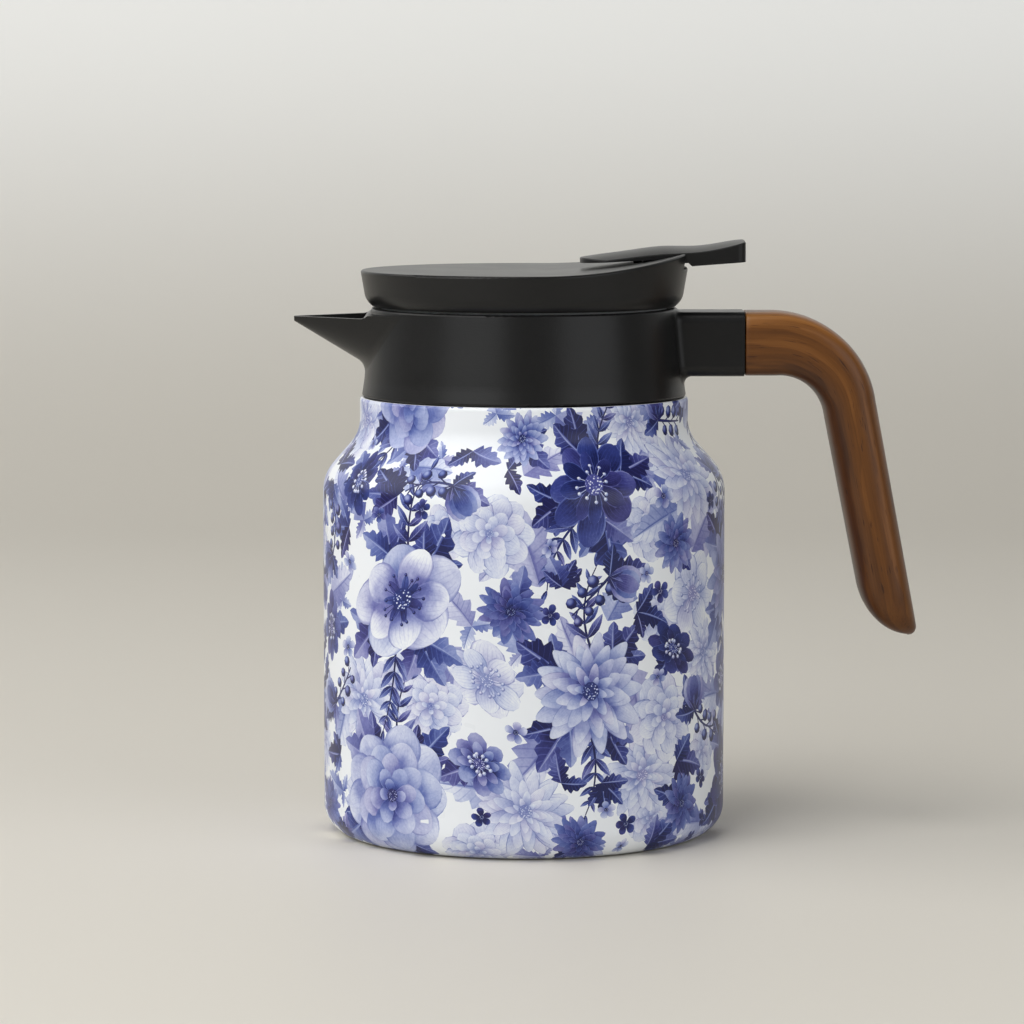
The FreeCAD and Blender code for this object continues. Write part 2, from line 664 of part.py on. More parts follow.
def spout_root(edge):
    """Edges where the spout's sides and underside leave the collar's wall."""
    box = edge.BoundBox
    ends = [math.hypot(vertex.X, vertex.Y) for vertex in edge.Vertexes]
    on_wall = min(ends) > size(SPOUT_COLLAR_RADIUS) and max(ends) < size(COLLAR_FOOT_RADIUS)
    return (on_wall and box.XMax < -size(SPOUT_ROOT) + PICK_MARGIN and box.ZLength > size("spout_root_round")
            and box.YLength > PICK_MARGIN)


rounded_edges(spout_collar, "spout_root", "spout_root_round", spout_root)
lip_cut = new_sketch(spout_collar, "lip_cut", "XZ_Plane")
draw_outline(lip_cut, [
    corner(f"-{SPOUT_TIP} - overcut", SPOUT_RIM),
    corner(f"-{COLLAR_TOP_RADIUS} + spout_lip_inset", SPOUT_RIM, "spout_lip_round"),
    corner(f"-{COLLAR_TOP_RADIUS} + spout_lip_inset", f"{COLLAR_TOP} + overcut"),
    corner(f"-{SPOUT_TIP} - overcut", f"{COLLAR_TOP} + overcut"),
])
extruded(spout_collar, lip_cut, "Pocket", f"2 * {SPOUT_TIP}", both_ways=True)
turned(spout_collar, [
    corner("0", f"{LEDGE} - collar_height"),
    corner(LOWER_BORE, f"{LEDGE} - collar_height"),
    corner(LOWER_BORE, f"{SNAP_LOW} - snap_depth + collar_fit"),
    corner(f"{LOWER_BORE} - snap_depth", f"{SNAP_LOW} + collar_fit"),
    corner(f"{LOWER_BORE} - snap_depth", f"{SNAP_HIGH} - collar_fit"),
    corner(LOWER_BORE, f"{SNAP_HIGH} + snap_depth - collar_fit"),
    corner(LOWER_BORE, f"{FLASK_RIM} + seat_gap"),
    corner(UPPER_BORE, f"{FLASK_RIM} + seat_gap"),
    corner(UPPER_BORE, f"{COLLAR_TOP} + overcut"),
    corner("0", f"{COLLAR_TOP} + overcut"),
], "bore", "PartDesign::Groove")
lofted_spout("channel", "SubtractiveLoft", [
    (f"{SPOUT_TIP} - spout_nose", "channel_tip_half", "channel_tip_depth", TIP_TOP),
    (SPOUT_ROOT, f"{SPOUT_ROOT_HALF} - spout_root_wall",
     f"channel_tip_depth + channel_slope * {SPOUT_RUN}", TIP_TOP),
])
screw_hole = new_sketch(spout_collar, "screw_hole", "YZ_Plane")
draw_circle(screw_hole, "0", ARM_AXIS, "screw_radius + screw_fit")
extruded(spout_collar, screw_hole, "Pocket", f"{ARM_END} + overcut", other_way=True)
screw_well = new_sketch(spout_collar, "screw_well", "YZ_Plane")
draw_circle(screw_well, "0", ARM_AXIS, "washer_radius + screw_fit")
extruded(spout_collar, screw_well, "Pocket", SCREW_SEAT, other_way=True)
tenon = new_sketch(spout_collar, "tenon", "YZ_Plane", ARM_END)
draw_outline(tenon, box_corners(
    "-tenon_width / 2", f"{ARM_AXIS} - tenon_height / 2", "tenon_width / 2", f"{ARM_AXIS} + tenon_height / 2",
    "tenon_round"))
draw_circle(tenon, "0", ARM_AXIS, "screw_radius + screw_fit")
extruded(spout_collar, tenon, "Pad", "tenon_length")

# Mouth ring: sits on the rim gasket inside the collar. Three helical tracks take the stopper's lugs, and the
# window opposite the handle lets the drink through to the spout.
mouth_ring_body = new_body("mouth_ring_wall")
turned(mouth_ring_body, ring_corners("mouth_radius", RING_RADIUS, RING_FOOT, f"{COLLAR_TOP} - ring_drop"))
ring_window = new_sketch(mouth_ring_body, "window", "YZ_Plane")
draw_outline(ring_window, box_corners(
    "-ring_window_half", f"{RING_FOOT} + ring_window_sill", "ring_window_half", f"{COLLAR_TOP} + overcut"))
extruded(mouth_ring_body, ring_window, "Pocket", f"{RING_RADIUS} + overcut")


def helical_bar(inner, outer, height, start, sweep):
    """Bar of rectangular section that climbs round Z at the thread's lead; angles in degrees from its lug."""
    step_angle = 8.0
    steps = math.ceil(sweep / step_angle)
    wires = []
    for index in range(steps + 1):
        angle = start + sweep * index / steps
        middle = size(LUG_LEVEL) + size("thread_lead") * angle / 360
        way = Vector(math.cos(math.radians(angle)), math.sin(math.radians(angle)), 0)
        section = [way * radius + Vector(0, 0, middle + rise)
                   for radius, rise in ((inner, -height / 2), (outer, -height / 2),
                                        (outer, height / 2), (inner, height / 2))]
        wires.append(Part.makePolygon(section + section[:1]))
    return Part.makeLoft(wires, True, True)


def round_the_axis(bar):
    """One compound of the bar repeated at each lug's place."""
    count = int(size("lug_count"))
    bars = []
    for index in range(count):
        copy = bar.copy()
        copy.rotate(Vector(), Vector(0, 0, 1), 360.0 * index / count)
        bars.append(copy)
    return Part.makeCompound(bars)


LUG_RADIUS = f"({PLUG_RADIUS} + lug_reach)"
lug_edge_angle = size("lug_half_angle") + math.degrees(size("track_gap") / size(LUG_RADIUS))
track_climb = size(f"{COLLAR_TOP} - {LUG_LEVEL} + lug_height")
tracks = doc.addObject("Part::Feature", "tracks")
tracks.Shape = round_the_axis(helical_bar(
    size("mouth_radius") - 2 * size("track_gap"), size(f"{LUG_RADIUS} + track_gap"),
    size("lug_height + 2 * track_gap"), -lug_edge_angle,
    lug_edge_angle + 360 * track_climb / size("thread_lead")))
mouth_ring = doc.addObject("Part::Cut", "mouth_ring")
mouth_ring.Base = mouth_ring_body
mouth_ring.Tool = tracks

# Handle grip: bent wood. Rounded sections follow a straight run, a bend and a leaning straight. At the tail
# the inner side sweeps across to a tip on the outer side.
GRIP_START = f"({ARM_END} + grip_seam)"
GRIP_POINTS = 24  # round each section


def grip_line(along):
    """Place, direction and outward normal of the grip's middle line at a distance from its start."""
    run, bend = size("grip_run"), size("grip_bend")
    turn = math.radians(90 - size("grip_lean"))
    start = Vector(size(GRIP_START), 0, size(ARM_AXIS))
    if along <= run:
        return start + Vector(along, 0, 0), Vector(1, 0, 0), Vector(0, 0, 1)
    angle = min((along - run) / bend, turn)
    way = Vector(math.cos(angle), 0, -math.sin(angle))
    outward = Vector(math.sin(angle), 0, math.cos(angle))
    place = start + Vector(run, 0, -bend) + outward * bend
    return place + way * max(0.0, along - run - bend * turn), way, outward


def grip_section(along, total):
    """Closed smooth section of the grip: boxy at the arm, rounder in the hand, drawn to a tip at the tail."""
    bend_end = total - size("grip_length")
    if along < bend_end:
        share = max(0.0, along - size("grip_run")) / (bend_end - size("grip_run"))
        thickness = size("arm_height") + (size("grip_thickness") - size("arm_height")) * share
        fullness = size("grip_arm_fullness") + size("grip_fullness - grip_arm_fullness") * share
        width = size("arm_width") + (size("grip_width") - size("arm_width")) * share
    else:
        share = (along - bend_end) / size("grip_length")
        thickness = size("grip_thickness") + (size("grip_tail_thickness") - size("grip_thickness")) * share
        fullness = size("grip_fullness")
        width = size("grip_width")
    outer = thickness / 2
    tail = max(0.0, 1 - (total - along) / size("grip_tail_length"))
    inner = outer - thickness * math.sqrt(1 - tail ** 2)
    width *= math.sqrt(1 - tail ** 3)
    tip_round = size("grip_tail_round")
    near_tip = max(0.0, 1 - (total - along) / tip_round)
    outer -= tip_round * (1 - math.sqrt(1 - near_tip ** 2))
    inner = min(inner, outer - size("grip_tip_thickness"))
    place, way, outward = grip_line(along)
    side = Vector(0, 1, 0)
    points = []
    for index in range(GRIP_POINTS):
        angle = 2 * math.pi * index / GRIP_POINTS
        across = math.copysign(abs(math.cos(angle)) ** (2 / fullness), math.cos(angle)) * width / 2
        up = math.copysign(abs(math.sin(angle)) ** (2 / fullness), math.sin(angle)) * (outer - inner) / 2
        points.append(place + side * across + outward * ((outer + inner) / 2 + up))
    curve = Part.BSplineCurve()
    curve.interpolate(points, PeriodicFlag=True)
    return Part.Wire(curve.toShape())


grip_turn = size("grip_bend") * math.radians(90 - size("grip_lean"))
grip_total = size("grip_run") + grip_turn + size("grip_length")
tail_start = grip_total - size("grip_tail_length")
stations = [0.0, size("grip_run") / 2, size("grip_run")]
stations += [size("grip_run") + grip_turn * share for share in (0.2, 0.4, 0.6, 0.8, 1.0)]
straight = tail_start - stations[-1]
stations += [stations[-1] + straight * share for share in (0.25, 0.5, 0.75, 1.0)]
stations += [tail_start + size("grip_tail_length") * share for share in (0.3, 0.55, 0.75, 0.88, 0.95, 0.99)]
grip_wood = doc.addObject("Part::Feature", "grip_wood")
grip_wood.Shape = Part.makeLoft([grip_section(along, grip_total) for along in stations], True, False)
mortise = doc.addObject("Part::Box", "mortise")
bind(mortise, Length="tenon_length + tenon_fit - grip_seam", Width="tenon_width + 2 * tenon_fit",
     Height="tenon_height + 2 * tenon_fit", Placement__Base__x=GRIP_START,
     Placement__Base__y="-tenon_width / 2 - tenon_fit",
     Placement__Base__z=f"{ARM_AXIS} - tenon_height / 2 - tenon_fit")
INSERT_START = f"({ARM_END} + tenon_length + tenon_fit)"
insert_bore = doc.addObject("Part::Cylinder", "insert_bore")
insert_bore.Placement = Placement(Vector(), Rotation(Vector(0, 1, 0), 90))
bind(insert_bore, Radius="insert_radius + insert_fit", Height="insert_length",
     Placement__Base__x=INSERT_START, Placement__Base__z=ARM_AXIS)
grip_hollow = doc.addObject("Part::Fuse", "grip_hollow")
grip_hollow.Base = mortise
grip_hollow.Tool = insert_bore
handle_grip = doc.addObject("Part::Cut", "handle_grip")
handle_grip.Base = grip_wood
handle_grip.Tool = grip_hollow


def laid_along_arm(body, start):
    """Lay a body that is drawn along Z on the arm's axis, from a distance along X."""
    body.Placement = Placement(Vector(), Rotation(Vector(0, 1, 0), 90))
    bind(body, Placement__Base__x=start, Placement__Base__z=ARM_AXIS)
    return body


# Handle insert, screw and washer: the screw goes from inside the collar through the arm into the brass
# insert. Its head lies in a well in the collar's wall, behind the mouth ring.
SCREW_BORE = "(screw_radius + insert_fit)"
handle_insert = laid_along_arm(turned_body("handle_insert", ring_corners(
    SCREW_BORE, "insert_radius", "0", "insert_length - screw_fit")), INSERT_START)
WASHER_START = f"({SCREW_SEAT} - washer_thickness)"
handle_washer = laid_along_arm(turned_body("handle_washer", ring_corners(
    "screw_radius + screw_fit", "washer_radius", "0", "washer_thickness")), WASHER_START)
handle_screw = laid_along_arm(turned_body("handle_screw", [
    corner("0", "0"),
    corner("screw_head_radius", "0", "screw_head_height / 3"),
    corner("screw_head_radius", "screw_head_height"),
    corner("screw_radius", "screw_head_height"),
    corner("screw_radius", "screw_head_height + screw_length"),
    corner("0", "screw_head_height + screw_length"),
]), f"{WASHER_START} - screw_head_height")

# Lid cover: a shallow cap. Its top is flat in front and sweeps up to the rear, where a notch and a slot take
# the lever. Two ears inside hold the lever's pin, and four bosses take the screws from the stopper.
lid_cover = new_body("lid_cover")
FLARE_TOP = f"({LID_TOP} + swoop_rise + lid_wall)"
FLARE_RADIUS = f"({LID_RIM} + lid_flare * (swoop_rise + lid_wall) / (lid_height - lid_bevel_up))"
turned(lid_cover, [
    corner("0", LID_FOOT),
    corner(LID_FOOT_RADIUS, LID_FOOT),
    corner(LID_BELT_RADIUS, f"{LID_FOOT} + lid_bevel_up", "lid_belt_round"),
    corner(FLARE_RADIUS, FLARE_TOP),
    corner("0", FLARE_TOP),
], "side")
SWOOP_END = f"({LID_RIM} + lid_wall)"
SWOOP_RADIUS = f"((({SWOOP_END} - swoop_start) ^ 2 + swoop_rise ^ 2) / (2 * swoop_rise))"
top_cut = new_sketch(lid_cover, "top_cut", "XZ_Plane")
draw_outline(top_cut, [
    corner(f"-{SWOOP_END}", LID_TOP),
    corner("swoop_start", LID_TOP, arc=SWOOP_RADIUS),
    corner(SWOOP_END, f"{LID_TOP} + swoop_rise"),
    corner(SWOOP_END, f"{FLARE_TOP} + overcut"),
    corner(f"-{SWOOP_END}", f"{FLARE_TOP} + overcut"),
])
extruded(lid_cover, top_cut, "Pocket", f"2 * {SWOOP_END}", both_ways=True)
turned(lid_cover, [
    corner("0", f"{LID_FOOT} - overcut"),
    corner(f"{FLANGE_RADIUS} + flange_fit", f"{LID_FOOT} - overcut"),
    corner(f"{FLANGE_RADIUS} + flange_fit", FLANGE_TOP),
    corner(f"{FLANGE_RADIUS} - flange_seat", FLANGE_TOP),
    corner(f"{FLANGE_RADIUS} - flange_seat", CEILING),
    corner("0", CEILING),
], "cavity", "PartDesign::Groove")
ears = new_sketch(lid_cover, "ears", "XZ_Plane")
draw_outline(ears, box_corners(
    f"{PIVOT_X} - ear_ahead", f"{PIVOT_Z} - ear_drop", f"{PIVOT_X} + ear_behind", f"{CEILING} + overcut"))
extruded(lid_cover, ears, "Pad", f"2 * {EAR_HALF}", both_ways=True)
notch = new_sketch(lid_cover, "notch", "XZ_Plane")
draw_outline(notch, box_corners(
    f"{PIVOT_X} - notch_ahead", f"{LID_TOP} + notch_rise", SWOOP_END, f"{FLARE_TOP} + overcut"))
extruded(lid_cover, notch, "Pocket", f"2 * {NOTCH_HALF}", both_ways=True)
slot = new_sketch(lid_cover, "slot", "XZ_Plane")
draw_outline(slot, box_corners(
    f"{PIVOT_X} - slot_ahead", f"{PIVOT_Z} - slot_drop",
    f"{PIVOT_X} + slot_behind", f"{FLARE_TOP} + overcut"))
extruded(lid_cover, slot, "Pocket", f"2 * {SLOT_HALF}", both_ways=True)
pin_hole = new_sketch(lid_cover, "pin_hole", "XZ_Plane")
draw_circle(pin_hole, PIVOT_X, PIVOT_Z, "pin_radius + pin_fit")
extruded(lid_cover, pin_hole, "Pocket", "2 * (pin_half_length + pin_fit)", both_ways=True)
boss_places = [(f"{side_x}{BOSS_RING} * cos(boss_angle)", f"{side_y}{BOSS_RING} * sin(boss_angle)")
               for side_x in ("", "-") for side_y in ("", "-")]
bosses = new_sketch(lid_cover, "bosses", "XY_Plane", DECK_TOP)
pilots = new_sketch(lid_cover, "pilots", "XY_Plane", DECK_TOP)
for place in boss_places:
    draw_circle(bosses, *place, "boss_radius")
    draw_circle(pilots, *place, "pilot_radius")
extruded(lid_cover, bosses, "Pad", f"{CEILING} - {DECK_TOP} + overcut")
extruded(lid_cover, pilots, "Pocket", "pilot_depth", other_way=True)


def lid_top_edge(edge):
    """Edges round the top, where it meets the flared side."""
    box = edge.BoundBox
    middle = edge.CenterOfMass
    reach = max(math.hypot(vertex.X, vertex.Y) for vertex in edge.Vertexes)
    at_rim = reach > size(f"{LID_RIM} - lid_edge")
    return (box.ZMin > size(LID_TOP) - PICK_MARGIN and at_rim and box.YLength > size("lid_edge")
            and not (abs(middle.y) < PICK_MARGIN and box.YLength > 2 * size(NOTCH_HALF) - PICK_MARGIN))


rounded_edges(lid_cover, "top_edge", "lid_edge", lid_top_edge)

# Stopper: flange, wall and deck in one moulding, with the stem's guide under the deck, a window towards the
# spout, a rib that keeps the gasket in place and three lugs for the mouth ring's tracks.
GUIDE_BORE = "(stem_radius + stem_fit)"
GUIDE_RADIUS = f"({GUIDE_BORE} + guide_wall)"
GASKET_TOP = f"({PLUG_FOOT} + plug_gasket_height)"
plug_body = new_body("plug_wall_and_deck")
turned(plug_body, [
    corner(PLUG_BORE, PLUG_FOOT),
    corner(PLUG_RADIUS, PLUG_FOOT),
    corner(PLUG_RADIUS, GASKET_TOP),
    corner(f"{PLUG_RADIUS} + rib_reach", GASKET_TOP),
    corner(f"{PLUG_RADIUS} + rib_reach", f"{GASKET_TOP} + rib_height"),
    corner(PLUG_RADIUS, f"{GASKET_TOP} + rib_height + rib_reach"),
    corner(PLUG_RADIUS, FLANGE_FOOT),
    corner(FLANGE_RADIUS, FLANGE_FOOT),
    corner(FLANGE_RADIUS, FLANGE_TOP),
    corner(PLUG_BORE, FLANGE_TOP),
    corner(PLUG_BORE, DECK_TOP),
    corner("stem_seal_radius", DECK_TOP),
    corner("stem_seal_radius", f"{DECK_TOP} - stem_seal_height"),
    corner(GUIDE_BORE, f"{DECK_TOP} - stem_seal_height"),
    corner(GUIDE_BORE, f"{DECK_FOOT} - guide_length"),
    corner(GUIDE_RADIUS, f"{DECK_FOOT} - guide_length"),
    corner(GUIDE_RADIUS, DECK_FOOT),
    corner(PLUG_BORE, DECK_FOOT),
])
plug_window = new_sketch(plug_body, "window", "YZ_Plane")
draw_outline(plug_window, box_corners(
    "-plug_window_half", f"{DECK_FOOT} - plug_window_gap - plug_window_height",
    "plug_window_half", f"{DECK_FOOT} - plug_window_gap", "plug_window_gap"))
extruded(plug_body, plug_window, "Pocket", f"{PLUG_RADIUS} + overcut")
screw_holes = new_sketch(plug_body, "screw_holes", "XY_Plane", DECK_TOP)
for place in boss_places:
    draw_circle(screw_holes, *place, "lid_screw_hole")
extruded(plug_body, screw_holes, "Pocket", "deck_thickness + overcut")
lugs = doc.addObject("Part::Feature", "lugs")
lugs.Shape = round_the_axis(helical_bar(
    size(f"{PLUG_RADIUS} - plug_wall / 2"), size(LUG_RADIUS), size("lug_height"),
    -size("lug_half_angle"), 2 * size("lug_half_angle")))
lid_plug = doc.addObject("Part::Fuse", "lid_plug")
lid_plug.Base = plug_body
lid_plug.Tool = lugs

# Stopper floor: pushed into the wall from below. The valve's disc closes its round seat.
plug_base = turned_body("plug_base", [
    corner("seat_radius", f"{PLUG_FOOT} - base_thickness"),
    corner(f"{PLUG_RADIUS} + base_step", f"{PLUG_FOOT} - base_thickness", "base_step"),
    corner(f"{PLUG_RADIUS} + base_step", PLUG_FOOT),
    corner(f"{PLUG_BORE} - base_fit", PLUG_FOOT),
    corner(f"{PLUG_BORE} - base_fit", f"{PLUG_FOOT} + base_spigot"),
    corner(f"{PLUG_BORE} - base_fit - base_spigot_wall", f"{PLUG_FOOT} + base_spigot"),
    corner(f"{PLUG_BORE} - base_fit - base_spigot_wall", PLUG_FOOT),
    corner("seat_radius", PLUG_FOOT),
])

# Stopper gasket: lipped ring round the wall, between the floor's edge and the rib.
GASKET_RADIUS = "(mouth_radius - plug_gasket_fit)"
GASKET_BORE = f"({PLUG_RADIUS} + base_fit / 2)"
plug_gasket = turned_body("plug_gasket", [
    corner(GASKET_BORE, PLUG_FOOT),
    corner(f"{PLUG_RADIUS} + base_step", PLUG_FOOT),
    corner(GASKET_RADIUS, f"{PLUG_FOOT} + plug_gasket_height * 0.25"),
    corner(f"{PLUG_RADIUS} + base_step", f"{PLUG_FOOT} + plug_gasket_height * 0.5"),
    corner(GASKET_RADIUS, f"{PLUG_FOOT} + plug_gasket_height * 0.75"),
    corner(f"{PLUG_RADIUS} + base_step", GASKET_TOP),
    corner(GASKET_BORE, GASKET_TOP),
])

# Rim seal: flat ring under the flange, over the mouth ring's top.
RIM_SEAL_MIDDLE = f"((mouth_radius + {RING_RADIUS}) / 2)"
rim_seal = turned_body("rim_seal", ring_corners(
    f"{RIM_SEAL_MIDDLE} - rim_seal_width / 2", f"{RIM_SEAL_MIDDLE} + rim_seal_width / 2",
    f"{FLANGE_FOOT} - rim_seal_thickness", FLANGE_FOOT))

# Lid screws: four, from under the deck into the lid's bosses.
lid_screw_shapes = []
for index, (across, along) in enumerate(boss_places):
    screw = turned_body(f"lid_screw_{index + 1}", [
        corner("0", f"{DECK_FOOT} - lid_screw_head_height"),
        corner("lid_screw_head", f"{DECK_FOOT} - lid_screw_head_height", "lid_screw_head_height / 3"),
        corner("lid_screw_head", DECK_FOOT),
        corner("lid_screw_radius", DECK_FOOT),
        corner("lid_screw_radius", f"{DECK_TOP} + lid_screw_grip"),
        corner("0", f"{DECK_TOP} + lid_screw_grip"),
    ])
    bind(screw, Placement__Base__x=across, Placement__Base__y=along)
    lid_screw_shapes.append(screw)
lid_screws = doc.addObject("Part::Compound", "lid_screws")
lid_screws.Links = lid_screw_shapes

# Valve stem: rod and head in one, with a spigot below for the disc and a groove above for the clip.
RETAINER_FOOT = f"({PLUG_FOOT} - retainer_thickness)"
valve_stem = turned_body("valve_stem", [
    corner("0", PLUG_FOOT),
    corner("stem_neck", PLUG_FOOT),
    corner("stem_neck", HEAD_FOOT),
    corner("head_radius", HEAD_FOOT),
    corner("head_radius", HEAD_TOP, "head_thickness / 3"),
    corner("stem_radius", HEAD_TOP),
    corner("stem_radius", CLIP_FOOT),
    corner("stem_radius - clip_groove", CLIP_FOOT),
    corner("stem_radius - clip_groove", CLIP_TOP),
    corner("stem_radius", CLIP_TOP),
    corner("stem_radius", f"{CLIP_TOP} + stem_end"),
    corner("0", f"{CLIP_TOP} + stem_end"),
])

# Valve disc, and the button under it that holds it to the stem's head.
valve_seal = turned_body("valve_seal", ring_corners(
    "stem_neck + disc_fit", "disc_radius", PLUG_FOOT, HEAD_FOOT))
seal_retainer = turned_body("seal_retainer", [
    corner("0", RETAINER_FOOT),
    corner("retainer_radius", RETAINER_FOOT, "retainer_thickness / 2"),
    corner("retainer_radius", PLUG_FOOT),
    corner("0", PLUG_FOOT),
])

# Stem seal: ring in the deck's well round the stem.
stem_seal = turned_body("stem_seal", ring_corners(
    GUIDE_BORE, "stem_seal_radius - disc_fit", f"{DECK_TOP} - stem_seal_height", DECK_TOP))

# Valve spring: shown as the sleeve that its turns fill, between the valve's head and the deck.
valve_spring = turned_body("valve_spring", ring_corners(
    "spring_radius - spring_wire", "spring_radius", HEAD_TOP, DECK_FOOT))

# Stem clip: open washer in the stem's groove, over the fork.
stem_clip = new_body("stem_clip")
turned(stem_clip, ring_corners("stem_radius - clip_groove + disc_fit", "clip_radius", CLIP_FOOT, CLIP_TOP))
clip_mouth = new_sketch(stem_clip, "mouth", "XY_Plane", CLIP_TOP)
draw_outline(clip_mouth, box_corners("0", "-clip_mouth / 2", "clip_radius + overcut", "clip_mouth / 2"))
extruded(stem_clip, clip_mouth, "Pocket", "clip_thickness + overcut")

# Thumb lever: a thin plate over the lid with a deep thumb end behind it. Its top is crowned from side to
# side, dips behind the pin and rises to the end. Two cheeks under the plate go down through the lid's slot to
# the pin.
NOSE_X = f"({PIVOT_X} - lever_nose)"
TAIL_X = f"({LID_RIM} + lever_overhang)"
KNEE_X = f"({LID_RIM} - knee_ahead)"


def plate_under(across):
    """Height of the plate's underside at a distance along X."""
    slope = f"(knee_under - nose_under) / ({KNEE_X} - {NOSE_X})"
    return f"({LID_TOP} + nose_under + {slope} * ({across} - {NOSE_X}))"


thumb_lever = new_body("thumb_lever")
top_sketches = []
for stage in ("nose", "fore", "middle", "ridge", "dip", "thumb", "tail"):
    place = {"nose": "0", "tail": "1"}.get(stage, f"{stage}_place")
    crown = f"({stage}_crown - {stage}_edge)"
    along = f"{NOSE_X} + ({TAIL_X} - {NOSE_X}) * {place}"
    section = new_sketch(thumb_lever, f"{stage}_section", "YZ_Plane", along)
    draw_outline(section, [
        corner("-lever_half", LID_TOP),
        corner("lever_half", LID_TOP),
        corner("lever_half", f"{LID_TOP} + {stage}_edge",
               arc=f"(lever_half ^ 2 + {crown} ^ 2) / (2 * {crown})"),
        corner("-lever_half", f"{LID_TOP} + {stage}_edge"),
    ])
    top_sketches.append(section)
lever_block = thumb_lever.newObject("PartDesign::AdditiveLoft", "thumb_lever_block")
lever_block.Profile = top_sketches[0]
lever_block.Sections = top_sketches[1:]
under_cut = new_sketch(thumb_lever, "under", "XZ_Plane")
BEFORE_NOSE = f"({NOSE_X} - overcut)"
draw_outline(under_cut, [
    corner(BEFORE_NOSE, f"{LID_TOP} - overcut"),
    corner(f"{TAIL_X} + overcut", f"{LID_TOP} - overcut"),
    corner(f"{TAIL_X} + overcut", f"{LID_TOP} + tail_under"),
    corner(f"{LID_RIM} + skirt_behind", f"{LID_TOP} + skirt_under"),
    corner(f"{LID_RIM} - shelf_ahead", f"{LID_TOP} + shelf_under"),
    corner(KNEE_X, f"{LID_TOP} + shelf_under"),
    corner(KNEE_X, f"{LID_TOP} + knee_under"),
    corner(BEFORE_NOSE, plate_under(BEFORE_NOSE)),
])
extruded(thumb_lever, under_cut, "Pocket", "2 * (lever_half + overcut)", both_ways=True)
thumb_hollow = new_sketch(thumb_lever, "hollow", "XZ_Plane")
HOLLOW_TOP = "(tail_edge - 2 * lever_edge)"
HOLLOW_HALF = f"(({HOLLOW_TOP} - tail_under) / 2)"
draw_outline(thumb_hollow, [
    corner(TAIL_X, f"{LID_TOP} + tail_under"),
    corner(TAIL_X, f"{LID_TOP} + {HOLLOW_TOP}",
           arc=f"({HOLLOW_HALF} ^ 2 + tail_hollow ^ 2) / (2 * tail_hollow)", bulge=-1),
])
extruded(thumb_lever, thumb_hollow, "Pocket", "2 * (lever_half + overcut)", both_ways=True)
plan_cut = new_sketch(thumb_lever, "plan", "XY_Plane", f"{LID_TOP} + tail_crown + overcut")
NOSE_RADIUS = "((lever_half ^ 2 + lever_nose_sag ^ 2) / (2 * lever_nose_sag))"
draw_outline(plan_cut, [
    corner(f"{NOSE_X} + lever_nose_sag", "-lever_half"),
    corner(TAIL_X, "-lever_half", "lever_corner"),
    corner(TAIL_X, "lever_half", "lever_corner"),
    corner(f"{NOSE_X} + lever_nose_sag", "lever_half", arc=NOSE_RADIUS),
])
draw_outline(plan_cut, box_corners(
    f"{NOSE_X} - overcut", "-lever_half - overcut", f"{TAIL_X} + overcut", "lever_half + overcut"))
extruded(thumb_lever, plan_cut, "Pocket", "tail_crown + 2 * overcut")


def lever_top_edge(edge):
    """Edges round the lever's top."""
    box = edge.BoundBox
    middle = edge.CenterOfMass
    upright = box.ZLength > max(box.XLength, box.YLength)
    return not upright and middle.z > size(f"{plate_under(middle.x)} + lever_edge")


rounded_edges(thumb_lever, "top_edge", "lever_edge", lever_top_edge)
cheeks = new_sketch(thumb_lever, "cheeks", "XZ_Plane")
HUB_LEFT, HUB_RIGHT = f"{PIVOT_X} - hub_radius", f"{PIVOT_X} + hub_radius"
draw_outline(cheeks, [
    corner(HUB_LEFT, f"{PIVOT_Z} - hub_radius", "hub_round"),
    corner(HUB_RIGHT, f"{PIVOT_Z} - hub_radius", "hub_round"),
    corner(HUB_RIGHT, f"{plate_under(HUB_RIGHT)} + cheek_sink"),
    corner(HUB_LEFT, f"{plate_under(HUB_LEFT)} + cheek_sink"),
])
extruded(thumb_lever, cheeks, "Pad", "2 * cheek_outer", both_ways=True)
between = new_sketch(thumb_lever, "between", "XZ_Plane")
BETWEEN_LEFT, BETWEEN_RIGHT = f"{HUB_LEFT} - overcut", f"{HUB_RIGHT} + overcut"
draw_outline(between, [
    corner(BETWEEN_LEFT, f"{PIVOT_Z} - hub_radius - overcut"),
    corner(BETWEEN_RIGHT, f"{PIVOT_Z} - hub_radius - overcut"),
    corner(BETWEEN_RIGHT, plate_under(BETWEEN_RIGHT)),
    corner(BETWEEN_LEFT, plate_under(BETWEEN_LEFT)),
])
extruded(thumb_lever, between, "Pocket", "2 * cheek_inner", both_ways=True)
lever_hole = new_sketch(thumb_lever, "pin_hole", "XZ_Plane")
draw_circle(lever_hole, PIVOT_X, PIVOT_Z, "pin_radius + pin_fit")
extruded(thumb_lever, lever_hole, "Pocket", "2 * cheek_outer + overcut", both_ways=True)

# Lift fork: its hub stands between the lever's cheeks on the same pin and fills the space up to the plate.
# Its blade reaches forward under the clip on the valve's stem.
lift_fork = new_body("lift_fork")
fork_side = new_sketch(lift_fork, "side", "XZ_Plane")
FORK_BACK = f"{PIVOT_X} - hub_radius / 2"
draw_outline(fork_side, [
    corner("-fork_tip", FORK_FOOT),
    corner(f"{PIVOT_X} - fork_knee", FORK_FOOT, "fork_round"),
    corner(HUB_RIGHT, f"{PIVOT_Z} - hub_radius", "hub_round"),
    corner(HUB_RIGHT, plate_under(HUB_RIGHT)),
    corner(FORK_BACK, plate_under(FORK_BACK)),
    corner(FORK_BACK, f"{PIVOT_Z} + fork_crown"),
    corner(f"{PIVOT_X} - fork_lift", FORK_TOP, "fork_round"),
    corner("-fork_tip", FORK_TOP),
])
extruded(lift_fork, fork_side, "Pad", "2 * fork_half", both_ways=True)
